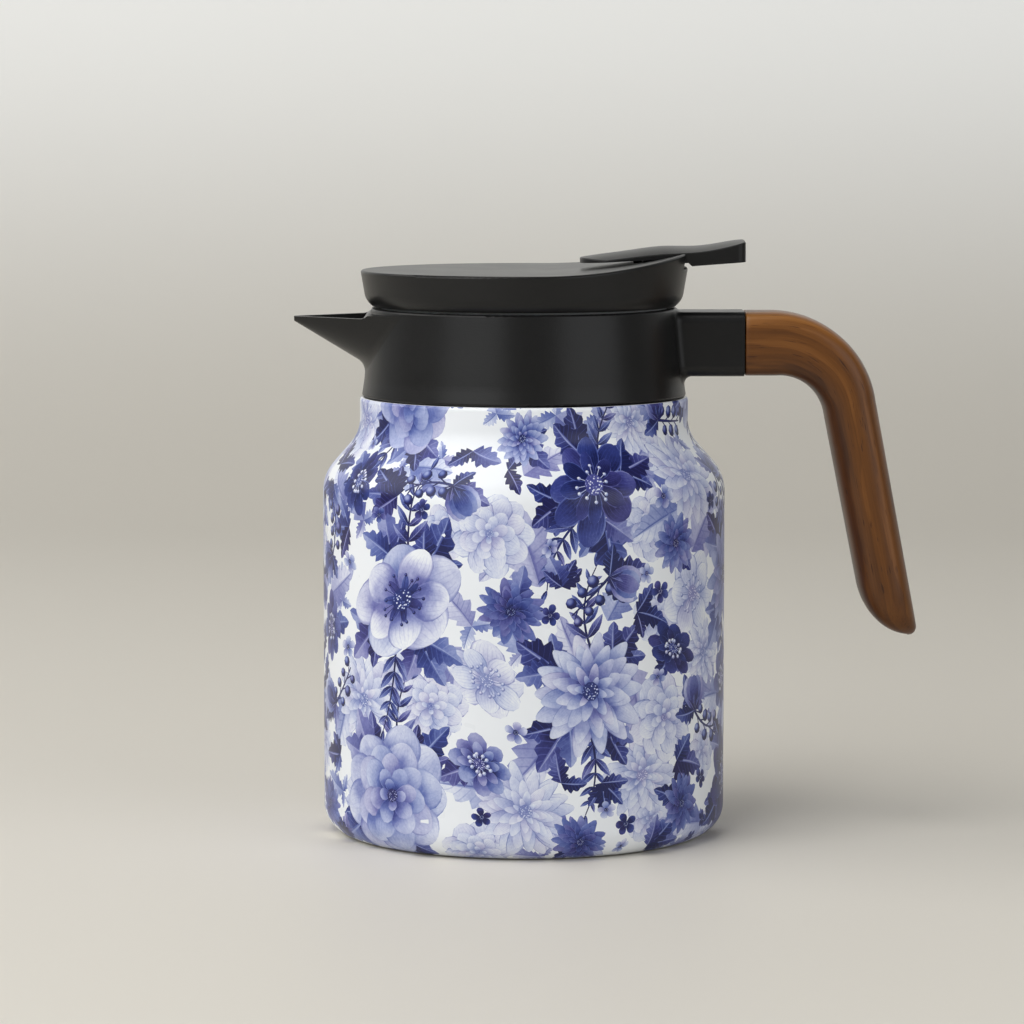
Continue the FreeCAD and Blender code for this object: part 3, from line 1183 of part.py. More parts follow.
for side, sign in (("left", "-"), ("right", "")):
    waist = new_sketch(lift_fork, f"waist_{side}", "XY_Plane", FORK_FOOT)
    inner, outer = f"{sign}(cheek_inner - fork_fit)", f"{sign}(fork_half + overcut)"
    low, high = (outer, inner) if sign else (inner, outer)
    draw_outline(waist, box_corners(f"{PIVOT_X} - fork_knee", low, BETWEEN_RIGHT, high))
    extruded(lift_fork, waist, "Pocket", f"{LID_TOP} + ridge_crown - {FORK_FOOT}", other_way=True)
fork_slot = new_sketch(lift_fork, "stem_slot", "XY_Plane", f"{FORK_TOP} + overcut")
draw_outline(fork_slot, box_corners(
    "-fork_tip - overcut", "-stem_radius - fork_slot_fit", "fork_slot_depth", "stem_radius + fork_slot_fit"))
extruded(lift_fork, fork_slot, "Pocket", "fork_thickness + 2 * overcut")
fork_hole = new_sketch(lift_fork, "pin_hole", "XZ_Plane")
draw_circle(fork_hole, PIVOT_X, PIVOT_Z, "pin_radius + pin_fit")
extruded(lift_fork, fork_hole, "Pocket", "2 * fork_half", both_ways=True)

# Lever pin: steel rod through the lid's ears, the lever's cheeks and the fork's hub.
lever_pin = doc.addObject("Part::Cylinder", "lever_pin")
lever_pin.Placement = Placement(Vector(), Rotation(Vector(1, 0, 0), -90))
bind(lever_pin, Radius="pin_radius", Height="2 * pin_half_length", Placement__Base__x=PIVOT_X,
     Placement__Base__y="-pin_half_length", Placement__Base__z=PIVOT_Z)

doc.recompute()
SUB_PARTS = [
    outer_shell, base_cap, seal_bead, inner_flask, vacuum_getter, rim_gasket, spout_collar, mouth_ring,
    handle_grip, handle_insert, handle_washer, handle_screw, lid_cover, lid_plug, plug_base, plug_gasket,
    rim_seal, lid_screws, stem_seal, lever_pin, thumb_lever, lift_fork, valve_stem, valve_seal, seal_retainer,
    stem_clip, valve_spring]
for thing in doc.Objects:
    if "Invalid" in thing.State or "Error" in thing.State:
        raise RuntimeError(f"{thing.Label} failed: {thing.State}")
for thing in SUB_PARTS:
    if thing.Shape.isNull() or not thing.Shape.isValid():
        raise RuntimeError(f"{thing.Label} has no valid shape")
os.makedirs("parts", exist_ok=True)
for thing in SUB_PARTS:
    thing.Shape.exportStep(f"parts/{thing.Label}.step")
    print(f"{thing.Label}: {len(thing.Shape.Solids)} solid, {thing.Shape.Volume / 1000:.2f} cm3")
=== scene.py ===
import bisect
import math
import random

import bmesh
import bpy
from mathutils import Matrix, Vector
from mathutils.bvhtree import BVHTree
from mathutils.geometry import delaunay_2d_cdt


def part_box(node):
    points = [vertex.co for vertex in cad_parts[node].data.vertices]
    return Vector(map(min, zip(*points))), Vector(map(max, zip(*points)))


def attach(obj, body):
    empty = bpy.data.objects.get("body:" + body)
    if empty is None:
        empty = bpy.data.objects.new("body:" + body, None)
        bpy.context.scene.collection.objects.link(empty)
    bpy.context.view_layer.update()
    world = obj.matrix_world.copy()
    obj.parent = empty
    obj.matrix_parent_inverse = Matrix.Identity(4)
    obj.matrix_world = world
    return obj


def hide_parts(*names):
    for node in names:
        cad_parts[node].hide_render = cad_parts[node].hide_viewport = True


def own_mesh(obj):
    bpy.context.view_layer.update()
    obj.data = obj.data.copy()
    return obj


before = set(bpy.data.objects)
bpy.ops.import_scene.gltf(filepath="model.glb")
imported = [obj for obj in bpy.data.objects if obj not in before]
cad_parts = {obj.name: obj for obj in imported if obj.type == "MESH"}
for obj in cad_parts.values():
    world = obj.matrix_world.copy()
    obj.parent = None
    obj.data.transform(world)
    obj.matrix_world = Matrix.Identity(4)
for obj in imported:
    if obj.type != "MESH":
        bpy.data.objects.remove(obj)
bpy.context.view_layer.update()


# Printed film, its outline
# The flask's outer wall is drawn steel under a white film that is printed with blue flowers and lacquered.
# The film is wrapped from the foot's corner up over the wall, shoulder and neck, and ends under the collar.
WALL_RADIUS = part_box("outer_shell")[1].y
LEDGE_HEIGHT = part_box("spout_collar")[0].z
FOOT_ROUND = 0.008
SHOULDER_HEIGHT = 0.102
SHOULDER_ROUND = 0.012
NECK_RADIUS = 0.0465
NECK_HEIGHT = 0.114
NECK_ROUND = 0.010
LEDGE_ROUND = 0.0012
FILM_PROUD = 0.00006
FILM_THICKNESS = 0.00004
FILM_FOOT_HEIGHT = 0.0003
FILM_TOP_GAP = 0.0001
ARC_STEP = math.radians(7)


def rounded_outline(corners, arc_step):
    """Points along straight runs that tangent arcs join. A corner is (radius, height, rounding)."""
    points = [Vector(corners[0][:2])]
    for before, here, after in zip(corners, corners[1:], corners[2:]):
        corner = Vector(here[:2])
        back = (Vector(before[:2]) - corner).normalized()
        ahead = (Vector(after[:2]) - corner).normalized()
        turn = math.pi - back.angle(ahead)
        start = corner + back * here[2] * math.tan(turn / 2)
        centre = corner + (back + ahead).normalized() * here[2] / math.cos(turn / 2)
        side = math.copysign(1, back.y * ahead.x - back.x * ahead.y)
        count = max(2, math.ceil(turn / arc_step))
        for k in range(count + 1):
            points.append(centre + Matrix.Rotation(side * turn * k / count, 2) @ (start - centre))
    points.append(Vector(corners[-1][:2]))
    return points


wall_outline = rounded_outline(
    [
        (WALL_RADIUS - FOOT_ROUND, 0, 0),
        (WALL_RADIUS, 0, FOOT_ROUND),
        (WALL_RADIUS, SHOULDER_HEIGHT, SHOULDER_ROUND),
        (NECK_RADIUS, NECK_HEIGHT, NECK_ROUND),
        (NECK_RADIUS, LEDGE_HEIGHT, LEDGE_ROUND),
        (NECK_RADIUS - LEDGE_ROUND, LEDGE_HEIGHT, 0),
    ],
    ARC_STEP,
)
film_outline = []
film_normals = []
for before, here, after in zip(wall_outline, wall_outline[1:], wall_outline[2:]):
    along = (after - here).normalized() + (here - before).normalized()
    outward = Vector((along.y, -along.x)).normalized()
    point = here + outward * FILM_PROUD
    if FILM_FOOT_HEIGHT < point.y < LEDGE_HEIGHT - FILM_TOP_GAP:
        film_outline.append(point)
        film_normals.append(outward)
film_lengths = [0.0]
for before, here in zip(film_outline, film_outline[1:]):
    film_lengths.append(film_lengths[-1] + (here - before).length)

GIRTH = 2 * math.pi * WALL_RADIUS
RISE = film_lengths[-1]
SEAM_ANGLE = math.radians(90)


def along_film(marks, value):
    """The stretch of the film's outline that a value lies on, and its share along that stretch."""
    k = min(max(bisect.bisect_right(marks, value) - 1, 0), len(marks) - 2)
    return k, (value - marks[k]) / (marks[k + 1] - marks[k])


def on_film(across, up):
    """Where a point of the flat print comes to lie when the film is wrapped round the wall."""
    k, share = along_film(film_lengths, up)
    radius, height = film_outline[k].lerp(film_outline[k + 1], share)
    angle = SEAM_ANGLE + across / WALL_RADIUS
    return Vector((radius * math.cos(angle), radius * math.sin(angle), height))


# Printed film, its drawing
# A loose half-drop repeat of layered garden flowers, toothed leaves, ferns and berries, drawn flat.
# Each shape lies over the ones before it, and keeps its own axes, so that its brush strokes follow it.
PETAL, LEAF, DISC, BERRY, STEM = range(1, 6)
BLUNTNESS = {PETAL: 0.55, LEAF: 0.85}
ROUND_FORM = (1, 1, 0)
OUTLINE_STEP = 0.0015
LEAST_BLADE_STEPS = 6
LEAST_DISC_STEPS = 8
LOBE_POINTS = ((0.06, 0.62), (0.45, 0.86), (0.8, 1.0))
PRINT_SEED = 7
draw = random.Random(PRINT_SEED)
shapes = []


def lay(outline, place, spread, kind, form, ink):
    """Adds one shape. Its outline is in its own axes, which spread and place carry to the flat print."""
    shape = {"outline": outline, "place": place, "spread": spread, "kind": kind, "form": form, "ink": ink}
    shapes.append(shape)


def turned(angle, size=1.0):
    return Matrix.Rotation(angle, 2) * size


def heading(angle):
    return Vector((math.cos(angle), math.sin(angle)))


def any_angle():
    return draw.uniform(0, 2 * math.pi)


def half_width(kind, along, aspect, fullness):
    return aspect * math.sin(math.pi * along**fullness) ** BLUNTNESS[kind]


def lay_blade(place, spread, kind, aspect, fullness, bend, ink, lobes=0):
    """A petal or leaf of length 1 along its own X, whose middle line bends sideways towards the tip."""
    if lobes:
        steps = [((k + share) / lobes, width) for k in range(lobes) for share, width in LOBE_POINTS]
    else:
        count = max(LEAST_BLADE_STEPS, int(math.sqrt(abs(spread.determinant())) / OUTLINE_STEP))
        steps = [(0.5 - 0.5 * math.cos(math.pi * k / count), 1) for k in range(1, count)]
    left, right = [], []
    for along, width in steps:
        half = half_width(kind, along, aspect, fullness) * width
        middle = bend * along**2
        left.append(Vector((along, middle + half)))
        right.append(Vector((along, middle - half)))
    outline = [Vector((0, 0))] + right + [Vector((1, bend))] + left[::-1]
    lay(outline, place, spread, kind, (aspect, fullness, bend), ink)


def lay_disc(place, spread, kind, ink):
    count = max(LEAST_DISC_STEPS, int(math.sqrt(abs(spread.determinant())) * 2 * math.pi / OUTLINE_STEP))
    outline = [heading(2 * math.pi * k / count) for k in range(count)]
    lay(outline, place, spread, kind, ROUND_FORM, ink)


def curve_points(start, bow, end, count):
    """Points of a stem that leaves start, bows towards a middle point and arrives at end."""
    points = []
    for k in range(count + 1):
        share = k / count
        points.append(start * (1 - share) ** 2 + bow * 2 * share * (1 - share) + end * share**2)
    return points


def bowed_points(start, angle, length, most_bow, count):
    """Points of a stem that bows to either side by up to a share of its length."""
    end = start + heading(angle) * length
    sideways = heading(angle + math.pi / 2) * length * draw.uniform(-most_bow, most_bow)
    return curve_points(start, (start + end) / 2 + sideways, end, count)


def lay_stem(points, thick, thin, ink):
    left, right = [], []
    for k, point in enumerate(points):
        along = (points[min(k + 1, len(points) - 1)] - points[max(k - 1, 0)]).normalized()
        side = Vector((-along.y, along.x)) * (thick + (thin - thick) * k / (len(points) - 1)) / 2
        left.append(point + side)
        right.append(point - side)
    lay(right + left[::-1], Vector((0, 0)), Matrix.Identity(2), STEM, ROUND_FORM, ink)


MOST_VIOLET = 0.8
TONE_SPREAD = 0.06


def inked(deep, pale):
    """Ink of one shape: its tone at the base and at the tip, 0 dark to 1 white, and a lean to violet."""
    shift = draw.uniform(-TONE_SPREAD, TONE_SPREAD)
    return (deep + shift, pale + shift, MOST_VIOLET * draw.random() ** 2)


def seen_at(least_tilt, most_tilt):
    """Flattens a flower that is seen from one side."""
    tilt = draw.uniform(least_tilt, most_tilt)
    lean = draw.uniform(0, math.pi)
    return Matrix.Rotation(lean, 2) @ Matrix(((1, 0), (0, tilt))) @ Matrix.Rotation(-lean, 2)


def lay_ring(place, tilted, count, reach, aspect, fullness, deep, pale, start):
    """Petals round a flower's middle, a little uneven in place, size and bend."""
    for k in range(count):
        angle = start + 2 * math.pi * (k + draw.uniform(-0.14, 0.14)) / count
        spread = tilted @ turned(angle, reach * draw.uniform(0.9, 1.06))
        bend = draw.uniform(-0.1, 0.1)
        lay_blade(place, spread, PETAL, aspect * draw.uniform(0.9, 1.1), fullness, bend, inked(deep, pale))


FILAMENT_FOOT = 0.00022
FILAMENT_TIP = 0.0002
ANTHER_RADIUS = 0.00055


def lay_stamens(place, tilted, count, reach, deep):
    for k in range(count):
        angle = 2 * math.pi * (k + draw.uniform(-0.3, 0.3)) / count
        length = reach * draw.uniform(0.75, 1.05)
        tip = place + tilted @ heading(angle) * length
        filament = curve_points(place, (place + tip) / 2, tip, 2)
        lay_stem(filament, FILAMENT_FOOT, FILAMENT_TIP, inked(deep, deep))
        lay_disc(tip, turned(0, ANTHER_RADIUS), BERRY, inked(deep - 0.1, deep + 0.25))


FADED_TONE = 0.93


def fade_since(first, base, tips):
    """Washes out the shapes laid since a place in the list, towards the white of the film."""
    for shape in shapes[first:]:
        deep, pale, violet = shape["ink"]
        shape["ink"] = (deep + (FADED_TONE - deep) * base, pale + (FADED_TONE - pale) * tips, violet)


def dahlia(place, reach):
    """Many pointed petals in rings that get shorter and darker inwards."""
    tilted = seen_at(0.8, 1)
    for ring in range(5):
        lay_ring(
            place, tilted, count=14 - 2 * ring, reach=reach * (1 - 0.18 * ring), aspect=0.17 + 0.012 * ring,
            fullness=1.15, deep=-0.04 + 0.02 * ring, pale=0.5 - 0.05 * ring, start=ring * 0.2,
        )
    lay_disc(place, tilted * reach * 0.15, DISC, inked(0.1, 0.8))


def wild_rose(place, reach):
    """Five broad pale petals, five more behind, and a crown of stamens."""
    tilted = seen_at(0.72, 0.95)
    start = draw.uniform(0, math.pi)
    lay_ring(place, tilted, 5, reach, aspect=0.42, fullness=1.5, deep=0.2, pale=0.84, start=start)
    gaps = start + math.pi / 5
    lay_ring(place, tilted, 5, reach * 0.86, aspect=0.4, fullness=1.5, deep=0.24, pale=0.97, start=gaps)
    lay_ring(place, tilted, 7, reach * 0.4, aspect=0.2, fullness=1.2, deep=0.0, pale=0.3, start=start)
    lay_stamens(place, tilted, 16, reach * 0.42, deep=0.12)
    lay_disc(place, tilted * reach * 0.19, DISC, inked(0.15, 0.95))


def peony(place, reach):
    """A full round head of cupped petals."""
    tilted = seen_at(0.82, 1)
    for ring, count in enumerate((9, 8, 7, 6, 4)):
        lay_ring(
            place, tilted, count, reach * (1 - 0.19 * ring), aspect=0.34, fullness=1.7,
            deep=-0.02 + 0.05 * ring, pale=0.66 - 0.06 * ring, start=ring * 0.4,
        )
    lay_disc(place, tilted * reach * 0.1, DISC, inked(0.05, 0.5))


def cosmos(place, reach):
    """Eight spoon-shaped petals round a beaded centre."""
    tilted = seen_at(0.6, 0.9)
    for share, aspect, fullness, pale in ((1, 0.29, 1.75, 0.26), (0.72, 0.23, 1.6, 0.2)):
        start = draw.uniform(0, 1)
        lay_ring(place, tilted, 8, reach * share, aspect, fullness, deep=-0.1, pale=pale, start=start)
    lay_stamens(place, tilted, 12, reach * 0.36, deep=0.75)
    lay_disc(place, tilted * reach * 0.2, DISC, inked(0.35, 1.0))


def floret(place, reach):
    tilted = seen_at(0.7, 1)
    tone = draw.choice((-0.05, 0.15, 0.45))
    start = draw.uniform(0, 1)
    lay_ring(place, tilted, 5, reach, aspect=0.36, fullness=1.6, deep=tone, pale=tone + 0.35, start=start)
    lay_disc(place, tilted * reach * 0.24, DISC, inked(0.1, 0.9))


def bud(place, angle, reach):
    """A half-open flower seen from the side, in its cup."""
    for turn in (-0.55, 0.55, -0.3, 0.3, 0.0):
        tone = 0.02 + 0.5 * abs(turn)
        spread = turned(angle + turn, reach)
        lay_blade(place, spread, PETAL, 0.26, 1.35, -0.3 * turn, inked(tone, tone + 0.42))
    for turn in (-0.7, 0, 0.7):
        lay_blade(place, turned(angle + turn, reach * 0.45), LEAF, 0.2, 0.9, 0, inked(0.0, 0.3))


def leaf(place, angle, length, deep, pale):
    bend = draw.uniform(-0.2, 0.2)
    aspect = draw.uniform(0.3, 0.4)
    lay_blade(place, turned(angle, length), LEAF, aspect, 0.8, bend, inked(deep, pale), draw.choice((4, 5)))


def leaf_fan(place, angle, count, spread, length):
    """Leaves from one foot, the outer ones shorter."""
    for k in range(count):
        turn = spread * (k / (count - 1) - 0.5)
        tone = draw.choice((-0.12, 0.02, 0.24))
        reach = length * (1 - 0.25 * abs(turn)) * draw.uniform(0.85, 1.1)
        leaf(place, angle + turn, reach, deep=tone, pale=tone + 0.34)


SPRIG_STEM = (0.0008, 0.0003)
SPRIG_LEAF = (0.17, 0.9)


def sprig(start, angle, length, pairs, blade, deep, pale):
    """A bowed stem with narrow leaves in pairs that get shorter towards its tip."""
    points = bowed_points(start, angle, length, 0.25, 2 * pairs + 2)
    lay_stem(points, *SPRIG_STEM, inked(deep, deep))
    for k in range(1, pairs + 1):
        here, ahead = points[2 * k], points[2 * k + 1]
        way = math.atan2(ahead.y - here.y, ahead.x - here.x)
        for side in (-1, 1):
            size = blade * (1.1 - 0.6 * k / pairs) * draw.uniform(0.85, 1.1)
            turn = way + side * draw.uniform(0.75, 1.0)
            lay_blade(here, turned(turn, size), LEAF, *SPRIG_LEAF, -0.12 * side, inked(deep, pale))
    lay_blade(points[-1], turned(angle, blade * 0.6), LEAF, *SPRIG_LEAF, 0, inked(deep, pale))


BERRY_STEM = (0.0009, 0.0004)
BERRY_STALK = (0.0005, 0.0003)
BERRY_OUT = 0.0026
BERRY_RADII = (0.0013, 0.0019)


def berries(start, angle, length, count):
    points = bowed_points(start, angle, length, 0.3, count + 1)
    lay_stem(points, *BERRY_STEM, inked(0.15, 0.3))
    for k in range(1, count + 2):
        side = 1 if k % 2 else -1
        way = points[k] - points[k - 1]
        place = points[k] + Vector((-way.y, way.x)).normalized() * side * BERRY_OUT
        lay_stem([points[k - 1], (points[k] + place) / 2, place], *BERRY_STALK, inked(0.15, 0.3))
        lay_disc(place, turned(0, draw.uniform(*BERRY_RADII)), BERRY, inked(0.0, 0.6))


def apart(first, second):
    """Distance between two places of the print, which closes on itself round the wall."""
    across = abs(first.x - second.x) % GIRTH
    return math.hypot(min(across, GIRTH - across), first.y - second.y)


def roomiest(taken, tries, low, high):
    """The best of some random places: the one that is furthest from what is already drawn."""
    places = [Vector((draw.uniform(0, GIRTH), draw.uniform(low, high))) for _ in range(tries)]
    return max(places, key=lambda place: min(apart(place, other) - reach for other, reach in taken))


COLUMNS = 6
ROWS = 3
FIRST_ROW = 0.018
HALF_DROP = 0.029
COLUMN_SHIFT = 0.021
FLOWER_KINDS = (dahlia, wild_rose, cosmos, peony)
FLOWER_REACH = (0.0175, 0.020, 0.0165, 0.0185)
FLOWER_FADES = ((0.0, 0.0), (0.05, 0.55), (0.0, 0.0), (0.0, 0.3), (0.15, 0.8))
heads = []
for column in range(COLUMNS):
    for row in range(ROWS):
        kind = (column + 2 * row + column // 2) % len(FLOWER_KINDS)
        up = FIRST_ROW + HALF_DROP * (2 * row + column % 2) + draw.uniform(-0.003, 0.003)
        across = COLUMN_SHIFT + GIRTH * column / COLUMNS + draw.uniform(-0.004, 0.004)
        reach = FLOWER_REACH[kind] * draw.uniform(0.95, 1.08)
        heads.append((Vector((across, up)), reach, FLOWER_KINDS[kind]))
taken = [(place, reach) for place, reach, _ in heads]


def clear_places(count, tries, reach, margin):
    """Places one after another in the widest gaps, each of which then counts as drawn."""
    places = []
    for _ in range(count):
        places.append(roomiest(taken, tries, margin, RISE - margin))
        taken.append((places[-1], reach))
    return places


SIDE_FLOWERS = 34
PALE_FLOWERS = 36
LOOSE_FANS = 40
LOOSE_LEAVES = 90
FLORETS = 40
GAP_FILLERS = 44
PALE_KINDS = (peony, wild_rose, dahlia)
SIDE_FADES = (0.0, 0.2, 0.6)
side_places = clear_places(SIDE_FLOWERS, tries=40, reach=0.0075, margin=0.004)
pale_places = clear_places(PALE_FLOWERS, tries=40, reach=0.008, margin=0.002)
fan_places = clear_places(LOOSE_FANS, tries=30, reach=0.004, margin=0.002)
for _ in range(LOOSE_LEAVES):
    place = Vector((draw.uniform(0, GIRTH), draw.uniform(0, RISE)))
    leaf(place, any_angle(), draw.uniform(0.014, 0.024), deep=0.2, pale=0.5)
fade_since(0, base=0.55, tips=0.7)
first = len(shapes)
for number, place in enumerate(pale_places):
    PALE_KINDS[number % len(PALE_KINDS)](place, draw.uniform(0.011, 0.015))
fade_since(first, base=0.55, tips=0.9)
for place, reach, _ in heads:
    first_angle = draw.uniform(0, 1)
    for k in range(4):
        angle = first_angle + 2 * math.pi * (k + draw.uniform(-0.2, 0.2)) / 4
        leaf_fan(place + heading(angle) * reach * 0.6, angle, 3, 1.5, reach * draw.uniform(0.75, 0.95))
    for k in range(2):
        angle = first_angle + 0.8 + math.pi * k
        foot = place + heading(angle) * reach * 0.6
        sprig(foot, angle, length=reach * 1.3, pairs=5, blade=reach * 0.42, deep=0.1, pale=0.5)
for place in fan_places:
    leaf_fan(place, any_angle(), draw.choice((2, 3, 4)), 2.0, draw.uniform(0.010, 0.014))
for number, place in enumerate(side_places):
    angle = any_angle()
    leaf_fan(place, angle + 2.6, 3, 2.4, 0.012)
    if number % 3 == 0:
        berries(place, angle, length=0.015, count=6)
        bud(place, angle + 2, 0.010)
    else:
        first = len(shapes)
        (dahlia if number % 3 == 1 else cosmos)(place, draw.uniform(0.0085, 0.0105))
        fade_since(first, base=0.0, tips=draw.choice(SIDE_FADES))
for number, (place, reach, flower) in enumerate(heads):
    first = len(shapes)
    flower(place, reach)
    fade_since(first, *FLOWER_FADES[number % len(FLOWER_FADES)])
for place in clear_places(FLORETS, tries=25, reach=0.003, margin=0.002):
    floret(place, draw.uniform(0.0026, 0.0042))
first = len(shapes)
for number, place in enumerate(clear_places(GAP_FILLERS, tries=40, reach=0.006, margin=0.001)):
    if number % 3:
        leaf_fan(place, any_angle(), 3, 4.0, draw.uniform(0.010, 0.015))
    else:
        peony(place, draw.uniform(0.008, 0.011))
fade_since(first, base=0.6, tips=0.8)
shapes = shapes[first:] + shapes[:first]


# Printed film, its mesh
# The film is one printed sheet, so the flat drawing is cut along every outline to find what lies on top,
# then again along the outlines that show. It is wrapped round the wall, closed and given an inner face.
FILM_COLUMNS = 144
FILM_UV_SHARE = 0.9
INNER_UV_START = 0.92
INNER_UV_SHARE = 0.07
WALL_ROW_STEP = 0.005
FILM_MARGIN = 0.0001
CUT_TOLERANCE = 2e-6
LEAST_AREA = 1e-8
CELL = 0.001
NO_SHAPE = [0.0, 0.0, 0.0]
PRINT_BORDERS = ((0, 0, 1), (0, GIRTH, -1), (1, FILM_MARGIN, 1), (1, RISE - FILM_MARGIN, -1))


def clipped(outline, axis, limit, side):
    """The part of an outline on one side of a straight line across or up the print."""
    kept = []
    for here, after in zip(outline, outline[1:] + outline[:1]):
        here_in = side * (here[axis] - limit) >= 0
        after_in = side * (after[axis] - limit) >= 0
        if here_in:
            kept.append(here)
        if here_in != after_in:
            meet = here.lerp(after, (limit - here[axis]) / (after[axis] - here[axis]))
            meet[axis] = limit
            kept.append(meet)
    return kept


def encloses(outline, across, up):
    """Whether a place of the print lies inside an outline."""
    inside = False
    here_x, here_y = outline[-1]
    for after_x, after_y in outline:
        if (here_y > up) != (after_y > up):
            meet = here_x + (after_x - here_x) * (up - here_y) / (after_y - here_y)
            inside = inside != (across < meet)
        here_x, here_y = after_x, after_y
    return inside


def middle_of(points, corners):
    return sum((points[corner] for corner in corners), Vector((0, 0))) / len(corners)


def area_of(outline):
    return sum(a.cross(b) for a, b in zip(outline, outline[1:] + outline[:1])) / 2


def smooth_mesh(shape_bm, name):
    """Ends a bmesh as a smoothly shaded mesh."""
    for face in shape_bm.faces:
        face.smooth = True
    mesh = bpy.data.meshes.new(name)
    shape_bm.to_mesh(mesh)
    shape_bm.free()
    return mesh


def in_scene(name, data):
    made = bpy.data.objects.new(name, data)
    bpy.context.collection.objects.link(made)
    return made


flat_points = []
flat_edges = []
rows = []
for low, high in zip(film_lengths, film_lengths[1:]):
    count = max(1, round((high - low) / WALL_ROW_STEP))
    rows += [(low + (high - low) * k / count, k == 0) for k in range(count)]
rows.append((RISE, True))
for up, is_bend in rows:
    first = len(flat_points)
    flat_points += [Vector((GIRTH * k / FILM_COLUMNS, up)) for k in range(FILM_COLUMNS + 1)]
    if is_bend:
        flat_edges += [(first + k, first + k + 1) for k in range(FILM_COLUMNS)]

grid_points = list(flat_points)
flat_faces = []
face_shapes = []
drawn_near = {}
for shape in shapes:
    outline = [shape["place"] + shape["spread"] @ point for point in shape["outline"]]
    if area_of(outline) < 0:
        outline.reverse()
    middle = sum(point.x for point in outline) / len(outline)
    home = -GIRTH * math.floor(middle / GIRTH)
    for shift in (home - GIRTH, home, home + GIRTH):
        part = [point + Vector((shift, 0)) for point in outline]
        for axis, limit, side in PRINT_BORDERS:
            part = clipped(part, axis, limit, side)
        if area_of(part) < LEAST_AREA:
            continue
        first = len(flat_points)
        flat_points += part
        flat_faces.append(list(range(first, first + len(part))))
        cells_across = [int(point.x / CELL) for point in part]
        cells_up = [int(point.y / CELL) for point in part]
        for column in range(min(cells_across), max(cells_across) + 1):
            for row in range(min(cells_up), max(cells_up) + 1):
                drawn_near.setdefault((column, row), []).append(len(face_shapes))
        face_shapes.append((shape, shift, [tuple(point) for point in part]))

all_points, _, all_faces, _, _, all_sources = delaunay_2d_cdt(
    flat_points, flat_edges, flat_faces, 0, CUT_TOLERANCE, True
)
all_tops = []
for corners, sources in zip(all_faces, all_sources):
    middle = tuple(middle_of(all_points, corners))
    covering = (top for top in sorted(sources, reverse=True) if encloses(face_shapes[top][2], *middle))
    top = next(covering, -1)
    if top < 0:
        near = drawn_near.get((int(middle[0] / CELL), int(middle[1] / CELL)), [])
        covering = (other for other in reversed(near) if encloses(face_shapes[other][2], *middle))
        top = next(covering, -1)
    all_tops.append(top)
top_beside = {}
seen_points = {}
seen_edges = []
for top, corners in zip(all_tops, all_faces):
    for here, after in zip(corners, corners[1:] + corners[:1]):
        other_top = top_beside.pop((after, here), None)
        if other_top is None:
            top_beside[here, after] = top
        elif other_top != top:
            ends = [seen_points.setdefault(end, len(seen_points)) for end in (here, after)]
            seen_edges.append([len(grid_points) + end for end in ends])
outline_points = [all_points[end] for end in seen_points]
at_seam = [point for point in outline_points if min(point.x, GIRTH - point.x) < CUT_TOLERANCE]
outline_points += [Vector((border, point.y)) for point in at_seam for border in (0, GIRTH)]
cut_points, _, cut_faces, _, _, _ = delaunay_2d_cdt(
    grid_points + outline_points, flat_edges + seen_edges, [], 0, CUT_TOLERANCE, False
)
drawing = BVHTree.FromPolygons([(*point, 0) for point in all_points], all_faces)
film_mesh = bpy.data.meshes.new("printed_film")
film_mesh.from_pydata([on_film(*point) for point in cut_points], [], cut_faces)
corner_places = []
corner_uvs = []
face_forms = []
face_inks = []
for corners in cut_faces:
    top = all_tops[drawing.find_nearest((*middle_of(cut_points, corners), 0))[2]]
    if top >= 0:
        shape, shift, _ = face_shapes[top]
        into_shape = shape["spread"].inverted()
        origin = shape["place"] + Vector((shift, 0))
        for corner in corners:
            corner_places += [*(into_shape @ (cut_points[corner] - origin)), shape["kind"]]
        face_forms += shape["form"]
        face_inks += shape["ink"]
    else:
        corner_places += NO_SHAPE * len(corners)
        face_forms += NO_SHAPE
        face_inks += NO_SHAPE
    for corner in corners:
        across, up = cut_points[corner]
        corner_uvs += [across / GIRTH, up / RISE * FILM_UV_SHARE]
film_mesh.attributes.new("shape_at", "FLOAT_VECTOR", "CORNER").data.foreach_set("vector", corner_places)
film_mesh.attributes.new("shape_form", "FLOAT_VECTOR", "FACE").data.foreach_set("vector", face_forms)
film_mesh.attributes.new("shape_ink", "FLOAT_VECTOR", "FACE").data.foreach_set("vector", face_inks)
film_mesh.uv_layers.new(name="OFBake").data.foreach_set("uv", corner_uvs)

inner_outline = [point - normal * FILM_THICKNESS for point, normal in zip(film_outline, film_normals)]
inner_outline[0], inner_outline[-1] = film_outline[0], film_outline[-1]
seam_way = Vector((math.cos(SEAM_ANGLE), math.sin(SEAM_ANGLE)))
inner_bm = bmesh.new()
uv_layer = inner_bm.loops.layers.uv.new("OFBake")
inner_verts = [inner_bm.verts.new((*(seam_way * radius), height)) for radius, height in inner_outline]
inner_edges = [inner_bm.edges.new(pair) for pair in zip(inner_verts, inner_verts[1:])]
bmesh.ops.spin(inner_bm, geom=inner_verts + inner_edges, cent=(0, 0, 0), axis=(0, 0, 1), angle=2 * math.pi,
               steps=FILM_COLUMNS, use_merge=True)
inner_bm.normal_update()
turned_out = [face for face in inner_bm.faces if face.normal.xy.dot(face.calc_center_median().xy) > 0]
bmesh.ops.reverse_faces(inner_bm, faces=turned_out)
for face in inner_bm.faces:
    middle = face.calc_center_median()
    share = (math.atan2(middle.y, middle.x) / (2 * math.pi)) % 1
    for loop in face.loops:
        loop[uv_layer].uv = (share, INNER_UV_START + INNER_UV_SHARE * loop.vert.co.z / RISE)
inner_mesh = smooth_mesh(inner_bm, "film_inside")
film_bm = bmesh.new()
film_bm.from_mesh(film_mesh)
film_bm.from_mesh(inner_mesh)
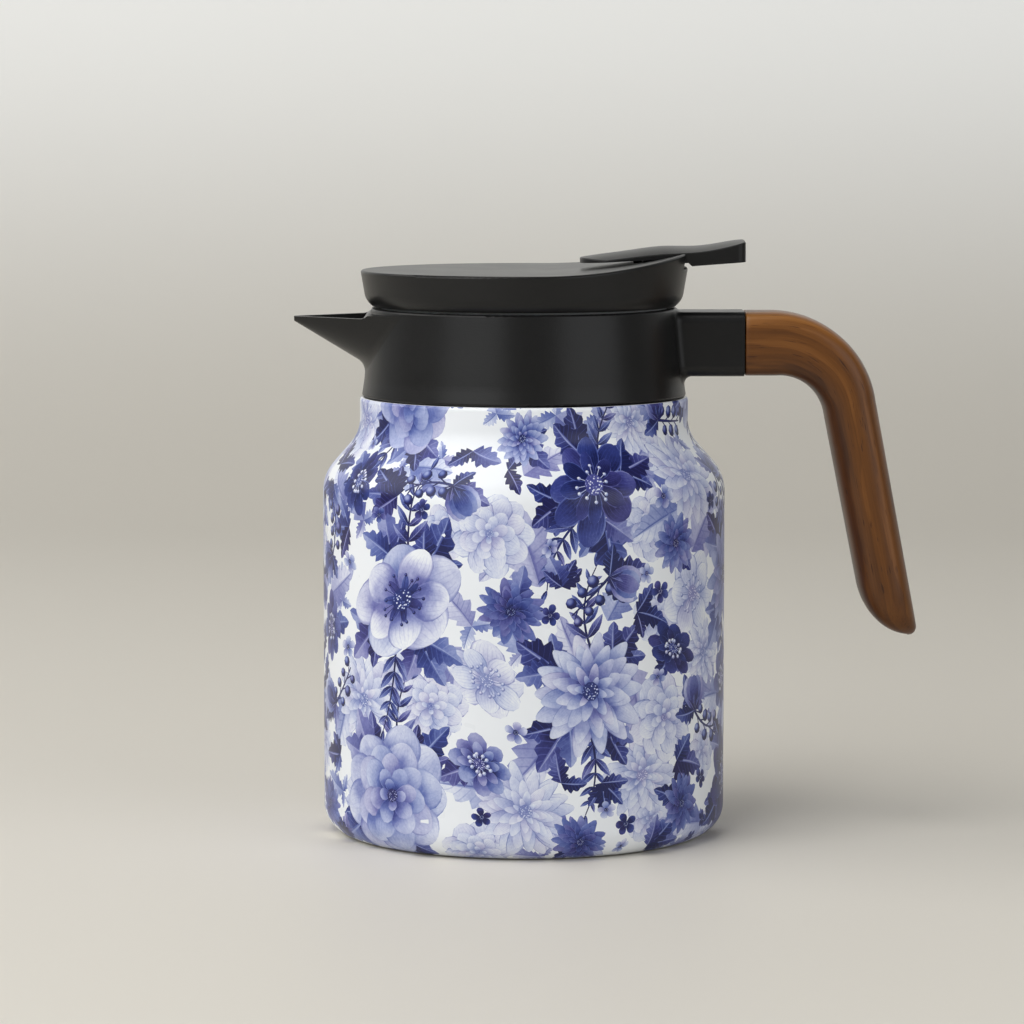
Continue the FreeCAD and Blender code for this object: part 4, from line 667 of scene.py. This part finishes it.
bpy.data.meshes.remove(inner_mesh)
bmesh.ops.remove_doubles(film_bm, verts=film_bm.verts[:], dist=CUT_TOLERANCE / 4)
seam_verts = [vertex for vertex in film_bm.verts if vertex.is_boundary]
bmesh.ops.remove_doubles(film_bm, verts=seam_verts, dist=2 * CUT_TOLERANCE)
for face in film_bm.faces:
    face.smooth = True
film_bm.to_mesh(film_mesh)
film_bm.free()

film_heights = [point.y for point in film_outline]
vertex_normals = []
for vertex in film_mesh.vertices:
    k, share = along_film(film_heights, vertex.co.z)
    radius = film_outline[k].lerp(film_outline[k + 1], share).x
    normal = film_normals[k].lerp(film_normals[k + 1], share).normalized()
    around = vertex.co.xy.normalized()
    facing = 1 if radius - vertex.co.xy.length < FILM_THICKNESS / 2 else -1
    vertex_normals.append(facing * Vector((*(around * normal.x), normal.y)))
film_mesh.normals_split_custom_set_from_vertices(vertex_normals)
printed_film = in_scene("printed_film", film_mesh)
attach(printed_film, "jug")


# Printed film, its ink
# Each shape is one wash from a tone at its base to a tone at its tip, with veins, a drawn rim and a little
# bleeding. Tones run from navy over cobalt and periwinkle to the white of the film, under satin lacquer.
def new_finish(name):
    material = bpy.data.materials.new(name)
    material.use_nodes = True
    return material, material.node_tree, material.node_tree.nodes["Principled BSDF"]


def feed(socket, value):
    """Sets a socket to a number or colour, or links it to another node's output."""
    if isinstance(value, bpy.types.NodeSocket):
        socket.id_data.links.new(value, socket)
    else:
        socket.default_value = value


def new_step(kind, *values):
    """A node in the tree that its values come from, with the values fed to its first sockets."""
    tree = next(value.id_data for value in values if isinstance(value, bpy.types.NodeSocket))
    step = tree.nodes.new(kind)
    for socket, value in zip(step.inputs, values):
        feed(socket, value)
    return step


def calc(operation, *values):
    step = new_step("ShaderNodeMath", *values)
    step.operation = operation
    return step.outputs[0]


def eased(value, low, high):
    """Rises smoothly from 0 to 1 while the value goes from low to high, which may also be downwards."""
    step = new_step("ShaderNodeMapRange", value, low, high)
    step.interpolation_type = "SMOOTHSTEP"
    return step.outputs["Result"]


def between(share, first, second):
    step = new_step("ShaderNodeMix", share)
    feed(step.inputs["A"], first)
    feed(step.inputs["B"], second)
    return step.outputs["Result"]


def tinted(share, first, second):
    step = new_step("ShaderNodeMix", share)
    step.data_type = "RGBA"
    feed(step.inputs[6], first)
    feed(step.inputs[7], second)
    return step.outputs[2]


def parts_of(vector):
    return new_step("ShaderNodeSeparateXYZ", vector).outputs


def vector_of(x, y, z):
    return new_step("ShaderNodeCombineXYZ", x, y, z).outputs[0]


def mesh_value(tree, name):
    step = tree.nodes.new("ShaderNodeAttribute")
    step.attribute_name = name
    return step.outputs["Vector"]


def length_of(x, y):
    return calc("SQRT", calc("ADD", calc("MULTIPLY", x, x), calc("MULTIPLY", y, y)))


def own_place(tree):
    return tree.nodes.new("ShaderNodeTexCoord").outputs["Object"]


def cloud(place, scale, detail=2.0, roughness=0.5):
    step = new_step("ShaderNodeTexNoise", place)
    step.inputs["Scale"].default_value = scale
    step.inputs["Detail"].default_value = detail
    step.inputs["Roughness"].default_value = roughness
    return step.outputs["Fac"]


def palette(value, stops):
    step = new_step("ShaderNodeValToRGB", value)
    ramp = step.color_ramp
    while len(ramp.elements) < len(stops):
        ramp.elements.new(1.0)
    for element, (place, colour) in zip(ramp.elements, stops):
        element.position = place
        element.color = (*colour, 1)
    return step.outputs["Color"]


def is_kind(kind, wanted):
    return calc("COMPARE", kind, float(wanted), 0.5)


BLEED_SCALE = 170
FLECK_SCALE = 1500
INK_GRAIN = 0.16
INK_CONTRAST = 1.1
RIM_TONE = 0.55
PETAL_STROKES = 13.0
PETAL_RIM = 0.8
PETAL_FOLD = 0.05
SIDE_RIBS = 8.0
SIDE_RIB_SLANT = 1.5
SIDE_RIB_STRENGTH = 0.5
LEAF_RIM = 0.45
LEAF_FOLD = 0.09
BEADS_ACROSS = 4.2
GLINT_LEFT = 0.3
GLINT_UP = 0.35
LACQUER_GLOSS = 0.24
LACQUER_UNEVEN = 0.1
FILM_WHITE = (0.82, 0.85, 0.89)
BLUE_TONES = (
    (0.0, (0.004, 0.008, 0.075)),
    (0.22, (0.024, 0.042, 0.23)),
    (0.45, (0.115, 0.160, 0.43)),
    (0.68, (0.35, 0.405, 0.65)),
    (0.85, (0.61, 0.655, 0.81)),
    (1.0, FILM_WHITE),
)
VIOLET_TONES = (
    (0.0, (0.012, 0.009, 0.075)),
    (0.22, (0.055, 0.050, 0.23)),
    (0.45, (0.18, 0.175, 0.43)),
    (0.68, (0.43, 0.43, 0.65)),
    (0.85, (0.66, 0.67, 0.81)),
    (1.0, FILM_WHITE),
)
printed, tree, lacquer = new_finish("printed_film")
across_x, across_y, kind = parts_of(mesh_value(tree, "shape_at"))
aspect, fullness, bend = parts_of(mesh_value(tree, "shape_form"))
deep, pale, violet = parts_of(mesh_value(tree, "shape_ink"))
place = own_place(tree)
bleed = calc("SUBTRACT", cloud(place, BLEED_SCALE, 4), 0.5)
fleck = calc("SUBTRACT", cloud(place, FLECK_SCALE, 3), 0.5)
is_leaf = is_kind(kind, LEAF)

along = calc("MINIMUM", calc("MAXIMUM", across_x, 0.004), 0.996)
swell = calc("SINE", calc("MULTIPLY", calc("POWER", along, fullness), math.pi))
blunt = between(is_leaf, BLUNTNESS[PETAL], BLUNTNESS[LEAF])
half = calc("MULTIPLY", aspect, calc("POWER", calc("MAXIMUM", swell, 0.002), blunt))
middle = calc("MULTIPLY", bend, calc("MULTIPLY", along, along))
side = calc("DIVIDE", calc("SUBTRACT", across_y, middle), calc("MAXIMUM", half, 0.001))
edge = calc("MINIMUM", calc("ABSOLUTE", side), 1.0)

wet = calc("MULTIPLY_ADD", bleed, 0.5, along)
wash = between(eased(wet, 0.05, 0.95), deep, pale)
to_rim = calc("SUBTRACT", RIM_TONE, wash)
rim = eased(edge, 0.8, 0.97)

wavering = calc("MULTIPLY", bleed, 5.0)
strokes = calc("SINE", calc("MULTIPLY_ADD", side, PETAL_STROKES, wavering))
stroke = eased(calc("ABSOLUTE", strokes), 0.45, 0.0)
stroke = calc("MULTIPLY", stroke, calc("SUBTRACT", 0.62, calc("MULTIPLY", along, 0.5)))
petal_mark = calc("MAXIMUM", stroke, calc("MULTIPLY", rim, PETAL_RIM))
petal_tone = calc("MULTIPLY_ADD", to_rim, petal_mark, wash)
petal_tone = calc("MULTIPLY_ADD", side, PETAL_FOLD, petal_tone)

rib = eased(edge, 0.13, 0.03)
slant = calc("MULTIPLY", edge, SIDE_RIB_SLANT)
side_rib = calc("SUBTRACT", calc("MULTIPLY", along, SIDE_RIBS), slant)
side_rib = calc("ABSOLUTE", calc("SINE", calc("MULTIPLY", side_rib, math.pi)))
side_rib = eased(side_rib, 0.4, 0.05)
leaf_mark = calc("MAXIMUM", rib, calc("MULTIPLY", side_rib, SIDE_RIB_STRENGTH))
leaf_mark = calc("MAXIMUM", leaf_mark, calc("MULTIPLY", rim, LEAF_RIM))
leaf_tone = calc("MULTIPLY_ADD", to_rim, leaf_mark, wash)
leaf_tone = calc("MULTIPLY_ADD", calc("SIGN", side), LEAF_FOLD, leaf_tone)

radius = length_of(across_x, across_y)
beads = new_step("ShaderNodeTexVoronoi", vector_of(across_x, across_y, 0.0))
beads.inputs["Scale"].default_value = BEADS_ACROSS
disc_tone = between(eased(beads.outputs["Distance"], 0.18, 0.5), pale, deep)
disc_tone = between(eased(radius, 0.8, 1.0), disc_tone, deep)
glint_x = calc("ADD", across_x, GLINT_LEFT)
glint_y = calc("SUBTRACT", across_y, GLINT_UP)
glint = length_of(glint_x, glint_y)
berry_tone = between(eased(glint, 0.15, 1.1), pale, deep)

tone = between(is_kind(kind, PETAL), 1.0, petal_tone)
tone = between(is_leaf, tone, leaf_tone)
tone = between(is_kind(kind, DISC), tone, disc_tone)
tone = between(is_kind(kind, BERRY), tone, berry_tone)
tone = between(is_kind(kind, STEM), tone, deep)
is_drawn = eased(kind, 0.3, 0.6)
grainy = calc("MULTIPLY_ADD", fleck, INK_GRAIN, calc("MULTIPLY", bleed, INK_GRAIN))
tone = calc("MULTIPLY_ADD", grainy, is_drawn, tone)
tone = calc("MULTIPLY_ADD", tone, INK_CONTRAST, 1 - INK_CONTRAST)
ink_colour = tinted(violet, palette(tone, BLUE_TONES), palette(tone, VIOLET_TONES))
feed(lacquer.inputs["Base Color"], ink_colour)
gloss = calc("MULTIPLY_ADD", cloud(place, 60, 3), LACQUER_UNEVEN, LACQUER_GLOSS)
feed(lacquer.inputs["Roughness"], gloss)
lacquer.inputs["Specular IOR Level"].default_value = 0.4
film_mesh.materials.append(printed)


# Steel pieces
# The flask, the foot's cap and the fasteners are stainless steel, drawn or turned, so their fine brushing
# runs round the jug's axis. The brass bead and insert are turned too.
def new_group(name, inputs, outputs):
    """A node group with number inputs (name, default) and outputs (name, socket type)."""
    group = bpy.data.node_groups.new(name, "ShaderNodeTree")
    for title, default in inputs:
        socket = group.interface.new_socket(title, in_out="INPUT", socket_type="NodeSocketFloat")
        socket.default_value = default
    for title, socket_type in outputs:
        group.interface.new_socket(title, in_out="OUTPUT", socket_type=socket_type)
    return group, group.nodes.new("NodeGroupInput"), group.nodes.new("NodeGroupOutput")


def put_group(tree, group, **values):
    step = tree.nodes.new("ShaderNodeGroup")
    step.node_tree = group
    for title, value in values.items():
        step.inputs[title.replace("_", " ").capitalize()].default_value = value
    return step.outputs


def bumped(height, distance):
    step = height.id_data.nodes.new("ShaderNodeBump")
    feed(step.inputs["Height"], height)
    step.inputs["Distance"].default_value = distance
    return step.outputs["Normal"]


brushing, group_in, group_out = new_group(
    "turned brushing", (("Fineness", 2600.0),), (("Lines", "NodeSocketFloat"), ("Smudges", "NodeSocketFloat"))
)
x, y, z = parts_of(own_place(brushing))
from_axis = length_of(x, y)
safe_axis = calc("MAXIMUM", from_axis, 0.0005)
line_place = vector_of(
    calc("MULTIPLY", calc("DIVIDE", x, safe_axis), 3.0),
    calc("MULTIPLY", calc("DIVIDE", y, safe_axis), 3.0),
    calc("MULTIPLY", calc("ADD", z, from_axis), group_in.outputs["Fineness"]),
)
feed(group_out.inputs["Lines"], cloud(line_place, 1.0, 3))
feed(group_out.inputs["Smudges"], cloud(own_place(brushing), 45.0, 4))


def turned_metal(name, light, dark, smooth, rough, fineness):
    """A bare metal whose lines shift its colour and gloss a little."""
    material, tree, metal = new_finish(name)
    lines = put_group(tree, brushing, fineness=fineness)
    feed(metal.inputs["Base Color"], tinted(lines["Lines"], (*dark, 1), (*light, 1)))
    metal.inputs["Metallic"].default_value = 1.0
    gloss = calc("MULTIPLY_ADD", lines["Lines"], rough - smooth, smooth)
    feed(metal.inputs["Roughness"], calc("MULTIPLY_ADD", lines["Smudges"], 0.08, gloss))
    feed(metal.inputs["Normal"], bumped(lines["Lines"], 0.00001))
    return material


def finish_nodes(material, names):
    for name in names:
        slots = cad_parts[name].data.materials
        slots.clear()
        slots.append(material)


STEEL_COLOURS = {"light": (0.66, 0.66, 0.65), "dark": (0.52, 0.52, 0.52)}
BRASS_COLOURS = {"light": (0.80, 0.58, 0.26), "dark": (0.66, 0.45, 0.18)}
brushed_steel = turned_metal("brushed_steel", **STEEL_COLOURS, smooth=0.2, rough=0.36, fineness=2600.0)
finish_nodes(brushed_steel, (
    "outer_shell", "base_cap", "inner_flask", "vacuum_getter", "handle_washer", "handle_screw", "lid_screws",
    "lever_pin", "stem_clip",
))
turned_brass = turned_metal("turned_brass", **BRASS_COLOURS, smooth=0.18, rough=0.34, fineness=1800.0)
finish_nodes(turned_brass, ("seal_bead", "handle_insert"))


# Seals
# Grey silicone rings, moulded, soft and slightly dusty, that seal flask, stopper, lid and valve.
silicone, tree, rubber = new_finish("grey_silicone")
dust = cloud(own_place(tree), 260.0, 5)
feed(rubber.inputs["Base Color"], tinted(dust, (0.36, 0.37, 0.38, 1), (0.50, 0.51, 0.52, 1)))
feed(rubber.inputs["Roughness"], calc("MULTIPLY_ADD", dust, 0.2, 0.45))
feed(rubber.inputs["Normal"], bumped(dust, 0.00002))
rubber.inputs["Subsurface Weight"].default_value = 0.05
rubber.inputs["Subsurface Scale"].default_value = 0.002
finish_nodes(silicone, ("rim_gasket", "plug_gasket", "rim_seal", "stem_seal", "valve_seal"))


# Black mouldings
# Collar, mouth ring, lid, lever and the stopper's parts are black polypropylene, moulded with a fine matt
# spark texture that scatters light at a low angle.
spark, group_in, group_out = new_group(
    "spark texture", (("Grain", 2400.0),), (("Grains", "NodeSocketFloat"), ("Sheen", "NodeSocketFloat"))
)
grain_step = new_step("ShaderNodeTexVoronoi", own_place(spark))
grain_step.feature = "SMOOTH_F1"
feed(grain_step.inputs["Scale"], group_in.outputs["Grain"])
fine_grain = cloud(own_place(spark), 5200.0, 2)
grains = calc("MULTIPLY_ADD", fine_grain, 0.5, grain_step.outputs["Distance"])
feed(group_out.inputs["Grains"], grains)
feed(group_out.inputs["Sheen"], cloud(own_place(spark), 70.0, 4))


def black_moulding(name, shade, smooth, rough, grain, depth):
    material, tree, plastic = new_finish(name)
    texture = put_group(tree, spark, grain=grain)
    dark = (shade * 0.85, shade * 0.85, shade * 0.88, 1)
    light = (shade * 1.2, shade * 1.2, shade * 1.22, 1)
    feed(plastic.inputs["Base Color"], tinted(texture["Sheen"], dark, light))
    gloss = calc("MULTIPLY_ADD", texture["Sheen"], rough - smooth, smooth)
    feed(plastic.inputs["Roughness"], gloss)
    plastic.inputs["Specular IOR Level"].default_value = 0.25
    feed(plastic.inputs["Normal"], bumped(texture["Grains"], depth))
    return material


matt_black = black_moulding("matt_black", shade=0.009, smooth=0.27, rough=0.36, grain=2400.0, depth=0.000012)
finish_nodes(matt_black, ("spout_collar", "lid_cover", "thumb_lever"))
inner_black = black_moulding("inner_black", shade=0.011, smooth=0.42, rough=0.55, grain=1800.0, depth=0.00003)
finish_nodes(inner_black, ("mouth_ring", "lid_plug", "plug_base", "lift_fork", "valve_stem", "seal_retainer"))


# Wooden grip
# Bent walnut, sanded round and oiled. It slides over the collar's tenon and is held by a screw from inside,
# and its tail is cut to a slanted tip. The grain follows the bend; painted light and shade lie over it.
ARM_AXIS = 0.1393
GRIP_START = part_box("handle_grip")[0].x
GRIP_RUN = 0.00865
GRIP_BEND = 0.02165
GRIP_TURN = math.radians(79)
GRIP_LENGTH = 0.068
ARM_HEIGHT = 0.0182
ARM_WIDTH = 0.020
GRIP_THICKNESS = 0.015
TAIL_THICKNESS = 0.0143
GRIP_WIDTH = 0.021
TAIL_LENGTH = 0.0177
TAIL_ROUND = 0.0025
TIP_THICKNESS = 0.0008
ARM_FULLNESS = 5.0
HAND_FULLNESS = 2.8
END_ROUND = 0.0005
GRIP_SIDES = 64
RING_STEP = 0.0012
TAIL_RINGS = 26
MOUTH_RIM = 0.003
CREASE_ANGLE = math.radians(50)
MORTISE_WIDTH = 0.0113
MORTISE_HEIGHT = 0.0103
MORTISE_DEPTH = 0.0058
bend_end = GRIP_RUN + GRIP_BEND * GRIP_TURN
grip_total = bend_end + GRIP_LENGTH


def grip_line(along):
    """Place and outward direction of the grip's middle line."""
    angle = min(max(0.0, along - GRIP_RUN) / GRIP_BEND, GRIP_TURN)
    way = Vector((math.cos(angle), 0, -math.sin(angle)))
    outward = Vector((math.sin(angle), 0, math.cos(angle)))
    place = Vector((GRIP_START + min(along, GRIP_RUN), 0, ARM_AXIS - GRIP_BEND)) + outward * GRIP_BEND
    return place + way * max(0.0, along - bend_end), outward


def grip_spot(along, angle):
    """Sideways and outward distance from the middle line at an angle round the section."""
    if along < bend_end:
        share = max(0.0, along - GRIP_RUN) / (bend_end - GRIP_RUN)
        thickness = ARM_HEIGHT + (GRIP_THICKNESS - ARM_HEIGHT) * share
        fullness = ARM_FULLNESS + (HAND_FULLNESS - ARM_FULLNESS) * share
        width = ARM_WIDTH + (GRIP_WIDTH - ARM_WIDTH) * share
    else:
        share = (along - bend_end) / GRIP_LENGTH
        thickness = GRIP_THICKNESS + (TAIL_THICKNESS - GRIP_THICKNESS) * share
        fullness = HAND_FULLNESS
        width = GRIP_WIDTH
    outer = thickness / 2
    tail = max(0.0, 1 - (grip_total - along) / TAIL_LENGTH)
    inner = outer - thickness * math.sqrt(1 - tail**2)
    width *= math.sqrt(1 - tail**3)
    near_tip = max(0.0, 1 - (grip_total - along) / TAIL_ROUND)
    outer -= TAIL_ROUND * (1 - math.sqrt(1 - near_tip**2))
    inner = min(inner, outer - TIP_THICKNESS)
    near_arm = max(0.0, 1 - along / END_ROUND)
    eased_edge = END_ROUND * (1 - math.sqrt(1 - near_arm**2))
    cosine, sine = math.cos(angle), math.sin(angle)
    sideways = math.copysign(abs(cosine) ** (2 / fullness), cosine) * (width / 2 - eased_edge)
    up = math.copysign(abs(sine) ** (2 / fullness), sine) * ((outer - inner) / 2 - eased_edge)
    return sideways, (outer + inner) / 2 + up


stations = [END_ROUND * share for share in (0.0, 0.15, 0.45, 1.0)]
plain_length = grip_total - TAIL_LENGTH - stations[-1]
ring_count = round(plain_length / RING_STEP)
stations += [stations[-1] + plain_length * (k + 1) / ring_count for k in range(ring_count)]
for k in range(TAIL_RINGS):
    near = math.sin(math.pi / 2 * (k + 1) / (TAIL_RINGS + 1))
    stations.append(grip_total - TAIL_LENGTH * (1 - near))
grip_bm = bmesh.new()
angle_layer = grip_bm.verts.layers.float.new("section_angle")
along_layer = grip_bm.verts.layers.float.new("along")
grip_bm.verts.layers.float_vector.new("grain_place")
bmesh.ops.create_circle(grip_bm, segments=GRIP_SIDES, radius=1)
for vertex in grip_bm.verts:
    vertex[angle_layer] = math.atan2(vertex.co.y, vertex.co.x)
ring_edges = grip_bm.edges[:]
end_edges = ring_edges
for along in stations[1:]:
    made = bmesh.ops.extrude_edge_only(grip_bm, edges=ring_edges)["geom"]
    ring_edges = [item for item in made if isinstance(item, bmesh.types.BMEdge) and item.is_boundary]
    for vertex in made:
        if isinstance(vertex, bmesh.types.BMVert):
            vertex[along_layer] = along
grain_layer = grip_bm.verts.layers.float_vector["grain_place"]
for vertex in grip_bm.verts:
    place, outward = grip_line(vertex[along_layer])
    sideways, out = grip_spot(vertex[along_layer], vertex[angle_layer])
    vertex.co = place + outward * out + Vector((0, sideways, 0))
    vertex[grain_layer] = (vertex[along_layer], sideways, out)
tip = bmesh.ops.edgeloop_fill(grip_bm, edges=ring_edges)["faces"]
bmesh.ops.poke(grip_bm, faces=tip)
mouth = bmesh.ops.edgeloop_fill(grip_bm, edges=end_edges)["faces"]
bmesh.ops.inset_individual(grip_bm, faces=mouth, thickness=MOUTH_RIM)
for vertex in mouth[0].verts:
    sideways, up = vertex.co.y, vertex.co.z - ARM_AXIS
    reach = max(abs(sideways) / (MORTISE_WIDTH / 2), abs(up) / (MORTISE_HEIGHT / 2))
    vertex.co = Vector((GRIP_START, sideways / reach, ARM_AXIS + up / reach))
floor_geometry = bmesh.ops.extrude_face_region(grip_bm, geom=mouth)["geom"]
floor_verts = [item for item in floor_geometry if isinstance(item, bmesh.types.BMVert)]
bmesh.ops.translate(grip_bm, verts=floor_verts, vec=(MORTISE_DEPTH, 0, 0))
bmesh.ops.delete(grip_bm, geom=mouth, context="FACES_ONLY")
bmesh.ops.recalc_face_normals(grip_bm, faces=grip_bm.faces[:])
grip_mesh = smooth_mesh(grip_bm, "walnut_grip")
grip_mesh.set_sharp_from_angle(angle=CREASE_ANGLE)
walnut_grip = in_scene("walnut_grip", grip_mesh)
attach(walnut_grip, "jug")
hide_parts("handle_grip")

WALNUT_TONES = (
    (0.0, (0.020, 0.007, 0.002)),
    (0.3, (0.056, 0.019, 0.005)),
    (0.6, (0.132, 0.047, 0.009)),
    (0.85, (0.24, 0.094, 0.022)),
    (1.0, (0.33, 0.145, 0.042)),
)
GROWTH_RING = 0.0046
RING_WANDER = 0.012
SHADE_WANDER = 0.016
PITH_SIDEWAYS = 0.009
PITH_OUT = -0.026
MIDDLE_TONE = 0.66
# Painted shade: how much darker the wood's tone gets at the grip's tail.
TAIL_PAINTED_SHADE = -0.14
walnut, tree, oil = new_finish("oiled_walnut")
grain_place = mesh_value(tree, "grain_place")
along, sideways, out = parts_of(grain_place)


def drawn_out(share):
    """The grain's own place, with the length shortened, so that a pattern on it runs along the grip."""
    return vector_of(calc("MULTIPLY", along, share), sideways, out)


wander = calc("SUBTRACT", cloud(drawn_out(0.16), 110.0, 3), 0.5)
from_pith = length_of(calc("SUBTRACT", sideways, PITH_SIDEWAYS), calc("SUBTRACT", out, PITH_OUT))
ring_place = calc("MULTIPLY_ADD", wander, RING_WANDER, from_pith)
ring_phase = calc("FRACT", calc("DIVIDE", ring_place, GROWTH_RING))
late_wood = calc("MULTIPLY", eased(ring_phase, 0.25, 0.9), eased(ring_phase, 1.0, 0.92))
streaks = cloud(drawn_out(0.05), 420.0, 5, 0.6)
fibres = cloud(drawn_out(0.03), 2600.0, 3, 0.65)
pores = eased(cloud(drawn_out(0.09), 1900.0, 1), 0.66, 0.76)
# Painted shade: a wandering dark band along the grip's inner side, which faces down towards the jug.
inner_shade_place = calc("MULTIPLY_ADD", wander, SHADE_WANDER, out)
painted_inner_shade = eased(inner_shade_place, -0.002, -0.0085)
# Painted highlight: the grip's outer side, which faces the lamps above, is lighter, less so towards the tail.
painted_outer_light = eased(calc("MULTIPLY_ADD", along, -0.06, out), 0.003, 0.0085)
tone = MIDDLE_TONE
for mark, weight in (
    (late_wood, -0.11),
    (calc("SUBTRACT", streaks, 0.5), 0.6),
    (calc("SUBTRACT", fibres, 0.5), 0.22),
    (wander, 0.4),
    (pores, -0.25),
    (painted_inner_shade, -0.15),
    (painted_outer_light, 0.28),
    # Painted shade: darker towards the tail, where less light reaches.
    (along, TAIL_PAINTED_SHADE / grip_total),
):
    tone = calc("MULTIPLY_ADD", mark, weight, tone)
feed(oil.inputs["Base Color"], palette(tone, WALNUT_TONES))
feed(oil.inputs["Roughness"], calc("MULTIPLY_ADD", fibres, 0.14, 0.28))
oil.inputs["Specular IOR Level"].default_value = 0.3
relief = calc("SUBTRACT", calc("MULTIPLY", fibres, 0.4), pores)
feed(oil.inputs["Normal"], bumped(relief, 0.00003))
grip_mesh.materials.append(walnut)


# Valve spring
# A closing coil of stainless wire round the valve's stem, between the valve's head and the stopper's deck.
# On the real jug it shortens by the valve's lift; this coil is built at rest.
low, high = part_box("valve_spring")
SPRING_OUTSIDE = high.x
WIRE_RADIUS = 0.0005
WIRE_SIDES = 10
SPRING_TURNS = 7
STEPS_PER_TURN = 40
coil_bm = bmesh.new()
first_place = Matrix.Translation((SPRING_OUTSIDE - WIRE_RADIUS, 0, low.z + WIRE_RADIUS))
start = first_place @ Matrix.Rotation(math.pi / 2, 4, "X")
bmesh.ops.create_circle(coil_bm, cap_ends=True, segments=WIRE_SIDES, radius=WIRE_RADIUS, matrix=start)
steps = SPRING_TURNS * STEPS_PER_TURN
climb = (high.z - low.z - 2 * WIRE_RADIUS) / steps
bmesh.ops.spin(coil_bm, geom=coil_bm.faces[:], cent=(0, 0, 0), axis=(0, 0, 1), dvec=(0, 0, climb),
               angle=2 * math.pi * SPRING_TURNS, steps=steps)
bmesh.ops.remove_doubles(coil_bm, verts=coil_bm.verts[:], dist=1e-6)
bmesh.ops.recalc_face_normals(coil_bm, faces=coil_bm.faces[:])
coil_mesh = smooth_mesh(coil_bm, "spring_coil")
for face in coil_mesh.polygons:
    face.use_smooth = face.loop_total == 4
coil_mesh.materials.append(brushed_steel)
spring_coil = in_scene("spring_coil", coil_mesh)
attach(spring_coil, "lid")
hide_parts("valve_spring")
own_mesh(spring_coil)


# Stage
# A plain pale sweep: a floor that curves up into a backdrop, which shows paler with height. A large soft
# window on the left, soft boxes in front and above and a weak fill light it, in an even room.
STAGE_HALF = 8.0
STAGE_BACK = 1.6
STAGE_HEIGHT = 2.4
SWEEP_ROUND = 0.8
STAGE_FRONT = -3.0
GLOW_HEIGHT = 0.3
BACKDROP_GLOW = 0.36
sweep_outline = rounded_outline(
    [(STAGE_FRONT, 0, 0), (STAGE_BACK, 0, SWEEP_ROUND), (STAGE_BACK, STAGE_HEIGHT, 0)], math.radians(3)
)
stage_bm = bmesh.new()
stage_verts = [stage_bm.verts.new((-STAGE_HALF, depth, height)) for depth, height in sweep_outline]
stage_edges = [stage_bm.edges.new(pair) for pair in zip(stage_verts, stage_verts[1:])]
grown = bmesh.ops.extrude_edge_only(stage_bm, edges=stage_edges)["geom"]
far_verts = [item for item in grown if isinstance(item, bmesh.types.BMVert)]
bmesh.ops.translate(stage_bm, verts=far_verts, vec=(2 * STAGE_HALF, 0, 0))
bmesh.ops.recalc_face_normals(stage_bm, faces=stage_bm.faces[:])
stage_mesh = smooth_mesh(stage_bm, "pale_sweep")
pale_sweep = in_scene("pale_sweep", stage_mesh)
sweep_finish, tree, sheet = new_finish("pale_sweep")
sheet.inputs["Base Color"].default_value = (0.73, 0.70, 0.635, 1)
sheet.inputs["Roughness"].default_value = 0.55
ray = tree.nodes.new("ShaderNodeLightPath").outputs
mirrored = calc("MAXIMUM", ray["Is Glossy Ray"], ray["Is Transmission Ray"])
seen = calc("MAXIMUM", ray["Is Camera Ray"], mirrored)
height = parts_of(own_place(tree))["Z"]
glow = calc("MULTIPLY", eased(height, 0.0, GLOW_HEIGHT), BACKDROP_GLOW)
feed(sheet.inputs["Emission Strength"], calc("MULTIPLY", seen, glow))
sheet.inputs["Emission Color"].default_value = (0.88, 0.94, 1, 1)
stage_mesh.materials.append(sweep_finish)

JUG_MIDDLE = Vector((0, 0, 0.09))


def soft_light(name, place, width, height, watts, colour):
    """A rectangular lamp that faces the jug."""
    light = bpy.data.lights.new(name, "AREA")
    light.shape = "RECTANGLE"
    light.size = width
    light.size_y = height
    light.energy = watts
    light.color = colour
    lamp = in_scene(name, light)
    lamp.location = place
    lamp.rotation_euler = (JUG_MIDDLE - Vector(place)).to_track_quat("-Z", "Y").to_euler()


soft_light("window", (-1.5, 0.1, 1.1), width=1.3, height=1.2, watts=11, colour=(1, 0.98, 0.95))
soft_light("front_box", (-1.05, -1.35, 0.9), width=1.6, height=1.2, watts=14, colour=(0.97, 0.99, 1))
soft_light("top_box", (-0.4, -0.5, 1.3), width=0.8, height=0.8, watts=7, colour=(1, 0.98, 0.95))
soft_light("fill", (1.2, -1.05, 0.6), width=1.4, height=1.0, watts=6.5, colour=(0.95, 0.97, 1))
room = bpy.data.worlds.new("even_room")
room.use_nodes = True
air = room.node_tree.nodes["Background"]
air.inputs["Color"].default_value = (0.93, 0.92, 0.90, 1)
air.inputs["Strength"].default_value = 0.2
bpy.context.scene.world = room

CAMERA_PLACE = (-0.003388, -1.2, 0.2112)
CAMERA_PITCH = math.radians(84.28)
camera_data = bpy.data.cameras.new("camera")
camera_data.sensor_width = 36
camera_data.lens = 148.87
camera = in_scene("camera", camera_data)
camera.location = CAMERA_PLACE
camera.rotation_euler = (CAMERA_PITCH, 0, 0)
bpy.context.scene.camera = camera
bpy.context.scene.view_settings.view_transform = "Standard"
